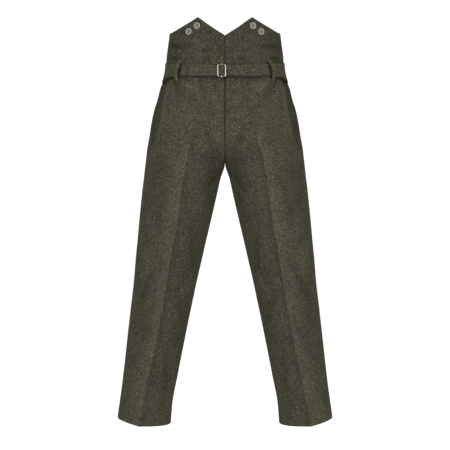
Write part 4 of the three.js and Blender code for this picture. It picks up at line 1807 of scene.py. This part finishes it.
@dataclass
class BeltLoop:
    """Narrow strip of cloth that bows outward over the strap."""

    side: Side
    width: float = LOOP_WIDTH
    thickness: float = 1.6
    rows: int = 60
    section_steps: int = 28
    section_flatness: float = 0.4
    section_depth: float = 0.6
    ring_samples: int = 400
    even_rub: float = 0.63

    @property
    def name(self) -> str:
        """Name of the CAD node that this piece stands for."""
        return f"belt_loop_{self.side.word}"

    def build(self) -> bpy.types.Object:
        """Builds the loop as one closed strip.

        Returns:
            The piece.
        """
        height = np.linspace(LOOP_COURSE[0].height, LOOP_COURSE[-1].height, self.rows)
        flat, through = rounded_section(self.section_steps, self.section_flatness, self.section_depth)
        deep = (through + 1) / 2
        out_at = LOOP_ACROSS(height)[:, None] + flat[None, :] * self.width / 2
        level = np.repeat(height[:, None], len(flat), axis=1)
        places = np.linspace(-1, 0, self.ring_samples)
        reach = np.empty_like(level)
        for i, row in enumerate(height):
            reach[i] = np.interp(out_at[i], CUT.section(row, places)[:, 0], places)
        point, out = CUT.surface(level, reach)
        point = point + out * (LOOP_LIFT(height)[:, None] + deep[None, :] * self.thickness)[..., None]
        uv = np.stack([out_at, level], axis=-1)
        # The loops are painted evenly lighter than the panels.
        rub = np.full(level.shape, self.even_rub)
        return Weaver(self.name + "_cloth", mirrored(point, self.side), uv, rub, closed=True).build()

    def dress(self, piece: bpy.types.Object, finishes: Finishes) -> None:
        """Gives the loop its finish, its body and its cut."""
        finish_piece(piece, finishes.wool, self.name)


def seat_matrix(height: float, across: float, side: Side, face: Face, lift: float) -> Matrix:
    """Placing of a flat piece on the cloth, its front outward and its Y axis as near up as it goes.

    Args:
        height: level of its middle.
        across: how far out its middle is.
        side: side of the wearer.
        face: back or front.
        lift: how far it stands from the cloth.

    Returns:
        The placing, in millimetres.
    """
    around = CUT.around_at(height, across, face)
    point, out = CUT.surface(np.array(height), np.array(around))
    outward = Vector(mirrored(out, side)).normalized()
    place = Vector(mirrored(point, side)) + outward * lift
    right = Vector((0, 0, 1)).cross(outward).normalized()
    up = outward.cross(right)
    rotation = Matrix((right, up, outward)).transposed().to_4x4()
    return Matrix.Translation(place) @ rotation


RING_POWER = 0.7


def swept_ring(bm: bmesh.types.BMesh, centre: Array, across: Array, through: Array, steps: int) -> None:
    """Adds a closed ring of oval section that follows a closed course in the XY plane.

    Args:
        bm: the bmesh that takes the ring.
        centre: points of the course, the first one repeated at the end.
        across: half width of the section at each point.
        through: half thickness of the section at each point.
        steps: how many points go round the section.
    """
    heading = np.gradient(centre, axis=0)
    heading[0] = heading[-1] = centre[1] - centre[-2]
    heading /= np.linalg.norm(heading, axis=1, keepdims=True)
    side = np.stack([heading[:, 1], -heading[:, 0]], axis=-1)
    flat, deep = rounded_section(steps, RING_POWER, RING_POWER)
    grid = bmesh.ops.create_grid(bm, x_segments=steps, y_segments=len(centre) - 1, size=1.0)
    for vert in grid["verts"]:
        k = round((vert.co.x + 1) / 2 * steps)
        i = round((vert.co.y + 1) / 2 * (len(centre) - 1))
        flat_place = centre[i] + side[i] * across[i] * flat[k]
        vert.co = (flat_place[0], flat_place[1], through[i] * deep[k])
    bmesh.ops.remove_doubles(bm, verts=grid["verts"], dist=0.001)


@dataclass
class SlideBuckle:
    """Frame with rounded corners, a middle bar under the strap and a round end on each side of it."""

    middle: float = 8.9
    height: float = -17.8
    width: float = 23.4
    tall: float = 34.4
    corner: float = 5.5
    bar_half_width: float = 1.6
    rail_half_width: float = 1.0
    half_thickness: float = 1.25
    lift: float = 3.4
    thickness: float = 2.4
    middle_bar_width: float = 5.4
    middle_bar_thickness: float = 1.6
    ball: float = 1.8
    corner_steps: int = 10
    straight_steps: int = 10

    rail_power: float = 2
    upright_from: float = 0.55
    upright_rest: float = 0.45
    long_side: float = 3.0
    ring_steps: int = 20
    rub_reach: Span = (0.55, 0.85)
    rub_facing: Span = (-0.4, 0.4)
    rub_least: float = 0.35
    rub_rest: float = 0.65
    bar_bevel: float = 0.5
    bar_gap: float = 0.05
    ball_inset: float = 0.1
    ball_lift: float = 0.7

    def corners(self, half_x: float, half_y: float) -> Array:
        """Works out the rounded corners of the frame's centre line.

        Args:
            half_x: half the width of the centre line.
            half_y: half its height.

        Returns:
            Points round the four corners.
        """
        radius = self.corner - self.rail_half_width
        points = []
        for quarter, (sx, sy) in enumerate(((1, 1), (-1, 1), (-1, -1), (1, -1))):
            middle = np.array([sx * (half_x - radius), sy * (half_y - radius)])
            for turn in np.linspace(quarter, quarter + 1, self.corner_steps) * np.pi / 2:
                points.append(middle + radius * np.array([math.cos(turn), math.sin(turn)]))
        return np.array(points)

    def course(self) -> Pair:
        """Works out the frame.

        Returns:
            Centre line of the frame and the half width of its section along it.
        """
        half_x = self.width / 2 - self.bar_half_width
        corners = self.corners(half_x, self.tall / 2 - self.rail_half_width)
        closed = np.vstack([corners, corners[:1]])
        dense = []
        for start, end in zip(closed[:-1], closed[1:]):
            parts = self.straight_steps if np.linalg.norm(end - start) > self.long_side else 1
            dense += [start + (end - start) * k / parts for k in range(parts)]
        dense.append(closed[0])
        line = np.array(dense)
        upright = np.clip((np.abs(line[:, 0]) / half_x - self.upright_from) / self.upright_rest, 0, 1)
        wider = self.bar_half_width - self.rail_half_width
        return line, self.rail_half_width + wider * upright**self.rail_power

    def add_frame(self, bm: bmesh.types.BMesh) -> None:
        """Adds the frame, with a painted highlight on its uprights where they face outward.

        Args:
            bm: the bmesh that takes it.
        """
        line, widths = self.course()
        swept_ring(bm, line, widths, np.full(len(line), self.half_thickness), self.ring_steps)
        rubbed = bm.verts.layers.float.new("rub")
        bmesh.ops.recalc_face_normals(bm, faces=bm.faces[:])
        bm.normal_update()
        # Painted highlight on the uprights, growing where they face outward; the rails stay painted dim.
        for vert in bm.verts:
            upright = float(smooth_step(*self.rub_reach, abs(vert.co.x) / (self.width / 2)))
            facing = float(even_rise(*self.rub_facing, vert.normal.x))
            vert[rubbed] = upright * (self.rub_least + self.rub_rest * facing)
        bmesh.ops.translate(bm, vec=(0, 0, self.thickness / 2), verts=bm.verts[:])

    def add_bar(self, bm: bmesh.types.BMesh) -> None:
        """Adds the middle bar with rounded edges.

        Args:
            bm: the bmesh that takes it.
        """
        bar = bmesh.ops.create_cube(bm, size=1.0)
        size = (self.middle_bar_width, self.tall - self.rail_half_width * 2, self.middle_bar_thickness)
        bmesh.ops.scale(bm, vec=size, verts=bar["verts"])
        edges = list({edge for vert in bar["verts"] for edge in vert.link_edges})
        rounded = bmesh.ops.bevel(
            bm, geom=edges, offset=self.bar_bevel, segments=3, profile=0.5, affect="EDGES", material=-1
        )
        lift = self.middle_bar_thickness / 2 + self.bar_gap
        bmesh.ops.translate(bm, vec=(0, 0, lift), verts=rounded["verts"])

    def add_balls(self, bm: bmesh.types.BMesh) -> None:
        """Adds the round ends of the middle bar, painted fully bright.

        Args:
            bm: the bmesh that takes them.
        """
        rubbed = bm.verts.layers.float["rub"]
        for end in (-1, 1):
            ball = bmesh.ops.create_uvsphere(bm, u_segments=20, v_segments=12, radius=self.ball)
            place = (0, end * (self.tall / 2 - self.ball_inset), self.thickness * self.ball_lift)
            bmesh.ops.translate(bm, vec=place, verts=ball["verts"])
            for vert in ball["verts"]:
                vert[rubbed] = 1.0

    def build(self) -> bpy.types.Object:
        """Builds the buckle as frame, bar and balls.

        Returns:
            The piece.
        """
        bm = bmesh.new()
        self.add_frame(bm)
        self.add_bar(bm)
        self.add_balls(bm)
        bmesh.ops.recalc_face_normals(bm, faces=bm.faces[:])
        place = seat_matrix(self.height, self.middle, Side.LEFT, Face.BACK, self.lift)
        bmesh.ops.transform(bm, matrix=place, verts=bm.verts[:])
        return object_from(bm, "slide_buckle")

    def dress(self, piece: bpy.types.Object, finishes: Finishes) -> None:
        """Gives the buckle its finish and body."""
        finish_piece(piece, finishes.metal, "buckle")


@dataclass
class FourHoleButton:
    """Dished button with a rim, four holes and its thread."""

    node: str
    side: Side
    face: Face
    across: float
    height: float
    lift: float = REST_GAP
    radius: float = 8.6
    thick: float = 3.0
    rim: float = 0.9
    rim_steps: int = 9
    dish_radius: float = 5.9
    dish_depth: float = 1.2
    dish_from: float = 0.15
    dish_steps: int = 6
    middle_radius: float = 3.6
    middle_drop: float = 0.08
    deepest_drop: float = 0.12
    hole_radius: float = 1.0
    hole_out: float = 2.0
    turns: int = 40
    tilt: float = 0.0
    sharp_angle: float = 42.0
    strand_size: tuple[float, float, float] = (3.9, 0.62, 0.9)
    strand_gap: float = 0.42
    strand_lift: float = 0.05
    middle_strand_lift: float = 0.08
    shank_radius: float = 1.5

    @property
    def hole_offset(self) -> float:
        """How far each hole is from the middle along either axis."""
        return self.hole_out / math.sqrt(2)

    def profile(self) -> list[tuple[float, float]]:
        """Works out the button's half section.

        Returns:
            Points from the middle of the underside round the rim to the middle of the dish.
        """
        half = self.thick / 2
        rim_out = [
            (self.radius - self.rim + self.rim * math.sin(a), half - half * math.cos(a))
            for a in np.linspace(0, np.pi, self.rim_steps)
        ]
        floor = self.thick - self.dish_depth
        slope = [
            (self.dish_radius + self.rim - self.rim * t, self.thick - self.dish_depth * (t * t * (3 - 2 * t)))
            for t in np.linspace(self.dish_from, 1, self.dish_steps)
        ]
        middle = [(self.middle_radius, floor - self.middle_drop), (0.0, floor - self.deepest_drop)]
        return [(0.0, 0.0)] + rim_out + slope + middle

    def blank(self) -> bpy.types.Object:
        """Spins the button's section into a disc without holes.

        Returns:
            The disc, flat on the XY plane.
        """
        bm = bmesh.new()
        verts = [bm.verts.new((x, 0, z)) for x, z in self.profile()]
        edges = [bm.edges.new(pair) for pair in zip(verts[:-1], verts[1:])]
        bmesh.ops.spin(
            bm,
            geom=verts + edges,
            cent=(0, 0, 0),
            axis=(0, 0, 1),
            angle=2 * math.pi,
            steps=self.turns,
            use_merge=True,
        )
        bmesh.ops.remove_doubles(bm, verts=bm.verts[:], dist=0.001)
        bmesh.ops.recalc_face_normals(bm, faces=bm.faces[:])
        return object_from(bm, self.node + "_disc")

    def drills(self) -> bpy.types.Object:
        """Makes the four rods that the holes are cut with.

        Returns:
            The rods as one object.
        """
        bm = bmesh.new()
        for sx in (-1, 1):
            for sy in (-1, 1):
                hole = bmesh.ops.create_cone(
                    bm,
                    cap_ends=True,
                    segments=16,
                    radius1=self.hole_radius,
                    radius2=self.hole_radius,
                    depth=self.thick * 3,
                )
                place = (sx * self.hole_offset, sy * self.hole_offset, 0)
                bmesh.ops.translate(bm, vec=place, verts=hole["verts"])
        return object_from(bm, self.node + "_drill")

    def disc(self) -> bpy.types.Object:
        """Cuts the four holes into the blank.

        Returns:
            The finished disc, flat on the XY plane.
        """
        blank = self.blank()
        tool = self.drills()
        cutter = blank.modifiers.new("holes", "BOOLEAN")
        cutter.operation = "DIFFERENCE"
        cutter.solver = "EXACT"
        cutter.object = tool
        graph = bpy.context.evaluated_depsgraph_get()
        cut = bpy.data.meshes.new_from_object(blank.evaluated_get(graph))
        bpy.data.objects.remove(blank)
        bpy.data.objects.remove(tool)
        cut.shade_smooth()
        cut.set_sharp_from_angle(angle=math.radians(self.sharp_angle))
        self.rub_rim(cut)
        return linked(self.node + "_pressed", cut)

    def rub_rim(self, mesh: bpy.types.Mesh) -> None:
        """Paints shade into the dish and leaves the rim lighter.

        Args:
            mesh: the button's mesh, in metres.
        """
        places = np.empty(len(mesh.vertices) * 3)
        mesh.vertices.foreach_get("co", places)
        out = np.hypot(places[0::3], places[1::3]) / MM
        layer = mesh.attributes.new("rub", "FLOAT", "POINT")
        layer.data.foreach_set("value", smooth_step(self.dish_radius - 0.1, self.dish_radius + 1.0, out))

    def placing(self) -> Matrix:
        """Where the button sits on the cloth."""
        place = seat_matrix(self.height, self.across, self.side, self.face, self.lift)
        return place @ Matrix.Rotation(self.tilt, 4, "Z")

    def thread(self) -> bpy.types.Object:
        """Makes two runs of thread over the dish and a short shank beneath the button.

        Returns:
            The thread.
        """
        bm = bmesh.new()
        floor = self.thick - self.dish_depth
        across = Matrix.Rotation(math.pi / 2, 3, "Y")
        for sy in (-1, 1):
            for k in (-1, 0, 1):
                run = bmesh.ops.create_uvsphere(bm, u_segments=8, v_segments=12, radius=0.5)
                bmesh.ops.rotate(bm, verts=run["verts"], cent=(0, 0, 0), matrix=across)
                bmesh.ops.scale(bm, vec=self.strand_size, verts=run["verts"])
                rise = floor + self.strand_lift + self.middle_strand_lift * (k == 0)
                place = (0, sy * self.hole_offset + k * self.strand_gap, rise)
                bmesh.ops.translate(bm, vec=place, verts=run["verts"])
        shank = bmesh.ops.create_cone(
            bm,
            cap_ends=True,
            segments=12,
            radius1=self.shank_radius,
            radius2=self.shank_radius,
            depth=REST_GAP * 0.9,
        )
        bmesh.ops.translate(bm, vec=(0, 0, -REST_GAP * 0.5), verts=shank["verts"])
        bmesh.ops.transform(bm, matrix=self.placing(), verts=bm.verts[:])
        return object_from(bm, self.node + "_thread")

    def build(self) -> bpy.types.Object:
        """Builds the button and puts it on the cloth.

        Returns:
            The piece.
        """
        piece = self.disc()
        place = self.placing()
        place.translation = place.translation * MM
        piece.data.transform(place)
        return piece

    def dress(self, piece: bpy.types.Object, thread: bpy.types.Object, finishes: Finishes) -> None:
        """Gives the button and its thread their finishes and body."""
        finish_piece(piece, finishes.button, self.node)
        finish_piece(thread, finishes.thread)


@dataclass
class Stitching:
    """Rows of stitches that lie on the cloth, each along a course of points and outward directions."""

    name: str
    side: Side
    courses: list[Pair]
    lift: float = 0.12
    pitch: float = 3.2
    length: float = 2.3
    thick: float = 0.55
    ahead: float = 0.5

    def build(self) -> bpy.types.Object:
        """Builds the stitches along each course.

        Returns:
            All of them as one piece.
        """
        bm = bmesh.new()
        for point, out in self.courses:
            steps = lengths(point)
            for spot in np.arange(self.pitch / 2, steps[-1] - self.ahead, self.pitch):
                middle = np.array([np.interp(spot, steps, point[:, k]) for k in range(3)])
                ahead = np.array([np.interp(spot + self.ahead, steps, point[:, k]) for k in range(3)])
                normal = np.array([np.interp(spot, steps, out[:, k]) for k in range(3)])
                self.stitch(bm, middle, ahead - middle, normal)
        return object_from(bm, self.name)

    def stitch(self, bm: bmesh.types.BMesh, middle: Array, ahead: Array, normal: Array) -> None:
        """Adds one stitch.

        Args:
            bm: the bmesh that takes it.
            middle: its middle on the cloth.
            ahead: the way that it runs.
            normal: outward direction of the cloth.
        """
        outward = Vector(mirrored(normal, self.side)).normalized()
        heading = Vector(mirrored(ahead, self.side)).normalized()
        width = outward.cross(heading).normalized()
        basis = Matrix((heading, width, outward)).transposed().to_4x4()
        place = Vector(mirrored(middle, self.side)) + outward * self.lift
        bead = bmesh.ops.create_icosphere(bm, subdivisions=1, radius=0.5)
        bmesh.ops.scale(bm, vec=(self.length, self.thick, self.thick), verts=bead["verts"])
        bmesh.ops.transform(bm, matrix=Matrix.Translation(place) @ basis, verts=bead["verts"])

    def dress(self, piece: bpy.types.Object, finishes: Finishes) -> None:
        """Gives the stitches their finish and body."""
        finish_piece(piece, finishes.thread)


@dataclass
class LightBox:
    """Soft rectangular light with a grid, in metres and watts, that looks at a point."""

    name: str
    place: tuple[float, float, float]
    target: tuple[float, float, float]
    wide: float
    tall: float
    power: float
    spread: float = 54.0

    def set_up(self) -> None:
        """Puts the light in the scene."""
        data = bpy.data.lights.new(self.name, "AREA")
        data.shape = "RECTANGLE"
        data.size = self.wide
        data.size_y = self.tall
        data.energy = self.power
        data.spread = math.radians(self.spread)
        lamp = linked(self.name, data)
        lamp.location = self.place
        aim = Vector(self.target) - Vector(self.place)
        lamp.rotation_euler = aim.to_track_quat("-Z", "Y").to_euler()


@dataclass
class Studio:
    """Camera, floor and lights."""

    distance: float = 3.0
    camera_height: float = -0.426
    sensor: float = 36.0
    image_pixels: int = 450
    metres_per_pixel: float = 0.00275
    floor_level: float = -1.25
    floor_half_width: float = 30000
    world_strength: float = 1.08
    side_power: float = 3.6
    fill_power: float = 12.8
    top_power: float = 1.3

    def camera(self) -> None:
        """Level camera straight behind, as in the photograph."""
        data = bpy.data.cameras.new("camera")
        data.sensor_width = self.sensor
        data.lens = self.sensor * self.distance / (self.image_pixels * self.metres_per_pixel)
        camera = linked("camera", data)
        camera.location = (0, -self.distance, self.camera_height)
        camera.rotation_euler = (math.pi / 2, 0, 0)
        bpy.context.scene.camera = camera

    def floor(self) -> None:
        """Plain pale floor."""
        bm = bmesh.new()
        bmesh.ops.create_grid(bm, x_segments=1, y_segments=1, size=self.floor_half_width)
        bmesh.ops.translate(bm, vec=(0, 0, self.floor_level / MM), verts=bm.verts[:])
        floor = object_from(bm, "floor", smooth=False)
        floor.data.materials.append(FloorFinish("pale_floor").make())

    def world(self) -> None:
        """White surroundings and plain tones."""
        world = bpy.data.worlds.new("studio")
        world.use_nodes = True
        background = world.node_tree.nodes["Background"]
        background.inputs["Color"].default_value = (1, 1, 1, 1)
        background.inputs["Strength"].default_value = self.world_strength
        bpy.context.scene.world = world
        bpy.context.scene.view_settings.view_transform = "Standard"

    def lights(self) -> None:
        """Two side boxes, a fill and a top box on the back and on the front."""
        for face in Face:
            ahead = face.value
            for side in Side:
                place = (0.70 * side.value, 1.12 * ahead, -0.53)
                target = (0.24 * side.value, 0, -0.60)
                name = f"{face.word}_{side.word}_box"
                LightBox(name, place, target, 0.25, 1.75, self.side_power).set_up()
            fill = (0, 2.7 * ahead, -0.1)
            LightBox(f"{face.word}_fill", fill, (0, 0, -0.42), 1.0, 1.0, self.fill_power).set_up()
            above = (0, 1.0 * ahead, 1.2)
            LightBox(f"{face.word}_top_box", above, (0, 0, -0.45), 1.2, 0.5, self.top_power).set_up()


@dataclass(frozen=True)
class FlyCourse:
    """Course of the curved stitching beside the fly, from the waist down to the centre seam."""

    top: float = 70
    turn: float = -150
    drop: float = 42
    beside: float = 7
    end_out: float = 1.5
    straight_points: int = 60
    curve_points: int = 16

    def laid(self, fly_width: float) -> Pair:
        """Lays the course on the front.

        Args:
            fly_width: width of the fly.

        Returns:
            Its points and their outward directions.
        """
        out = fly_width + self.beside
        places = []
        for height in np.linspace(self.top, self.turn, self.straight_points):
            places.append((float(height), CUT.around_at(float(height), out, Face.FRONT)))
        for share in np.linspace(0, 1, self.curve_points)[1:]:
            angle = share * np.pi / 2
            height = self.turn - self.drop * math.sin(angle)
            across = out * math.cos(angle) + self.end_out
            places.append((height, CUT.around_at(height, across, Face.FRONT)))
        course = np.array(places)
        return CUT.surface(course[:, 0], course[:, 1])


@dataclass(frozen=True)
class Seat:
    """Where a button sits: how far out and how high."""

    across: float
    height: float


BRACE_SEATS = {
    Face.BACK: (Seat(74.5, 105.3), Seat(96.3, 91.0)),
    Face.FRONT: (Seat(58.0, 66.0), Seat(92.0, 70.0)),
}
WAIST_SEAT = Seat(9.0, 60.0)
# The waist button lies on the lapped front: the front's lift, the rise near its edge and the gap.
WAIST_LIFT = 2.7 + 1.3 + REST_GAP
# The brace buttons are turned on their thread, each further than the one before, in degrees.
FIRST_TURN = 11
MORE_TURN = 23


def report(piece: bpy.types.Object) -> None:
    """Reports one finished piece."""
    LOG.info("%s: %d faces", piece.name, len(piece.data.polygons))


def buttons() -> list[FourHoleButton]:
    """Lists the buttons.

    Returns:
        The brace buttons of the back and of the front, then the waist button.
    """
    found = []
    for face, seats in BRACE_SEATS.items():
        number = 1
        for side in Side:
            for seat in seats:
                tilt = math.radians(FIRST_TURN + MORE_TURN * number) * side.value
                node = f"brace_button_{face.word}_{number}"
                found.append(FourHoleButton(node, side, face, seat.across, seat.height, tilt=tilt))
                number += 1
    across, height = WAIST_SEAT.across, WAIST_SEAT.height
    found.append(FourHoleButton("waist_button", Side.LEFT, Face.FRONT, across, height, lift=WAIST_LIFT))
    return found


def main() -> None:
    """Builds the trousers and the studio, and reports each piece."""
    studio = Studio()
    studio.camera()
    finishes = Finishes(
        wool=WoolFinish("field_grey_wool").make(),
        metal=MetalFinish("nickel_plate").make(),
        button=ButtonFinish("grey_button").make(),
        thread=ThreadFinish("olive_thread").make(),
    )
    makers: list[Union[Panel, CinchStrap, BeltLoop, SlideBuckle]] = []
    makers += [Panel(side, face) for face in Face for side in Side]
    for side in Side:
        makers += [CinchStrap(side), BeltLoop(side)]
    makers.append(SlideBuckle())
    for maker in makers:
        piece = maker.build()
        maker.dress(piece, finishes)
        report(piece)
    for button in buttons():
        disc = button.build()
        button.dress(disc, button.thread(), finishes)
        report(disc)
    fly = FlyCourse().laid(Panel(Side.LEFT, Face.FRONT).fly_width)
    rows = [Stitching("fly_stitching", Side.LEFT, [fly])]
    rows += [CinchStrap(side).sewing() for side in Side]
    for row in rows:
        seam = row.build()
        row.dress(seam, finishes)
        report(seam)
    studio.floor()
    studio.world()
    studio.lights()


if __name__ == "__main__":
    main()
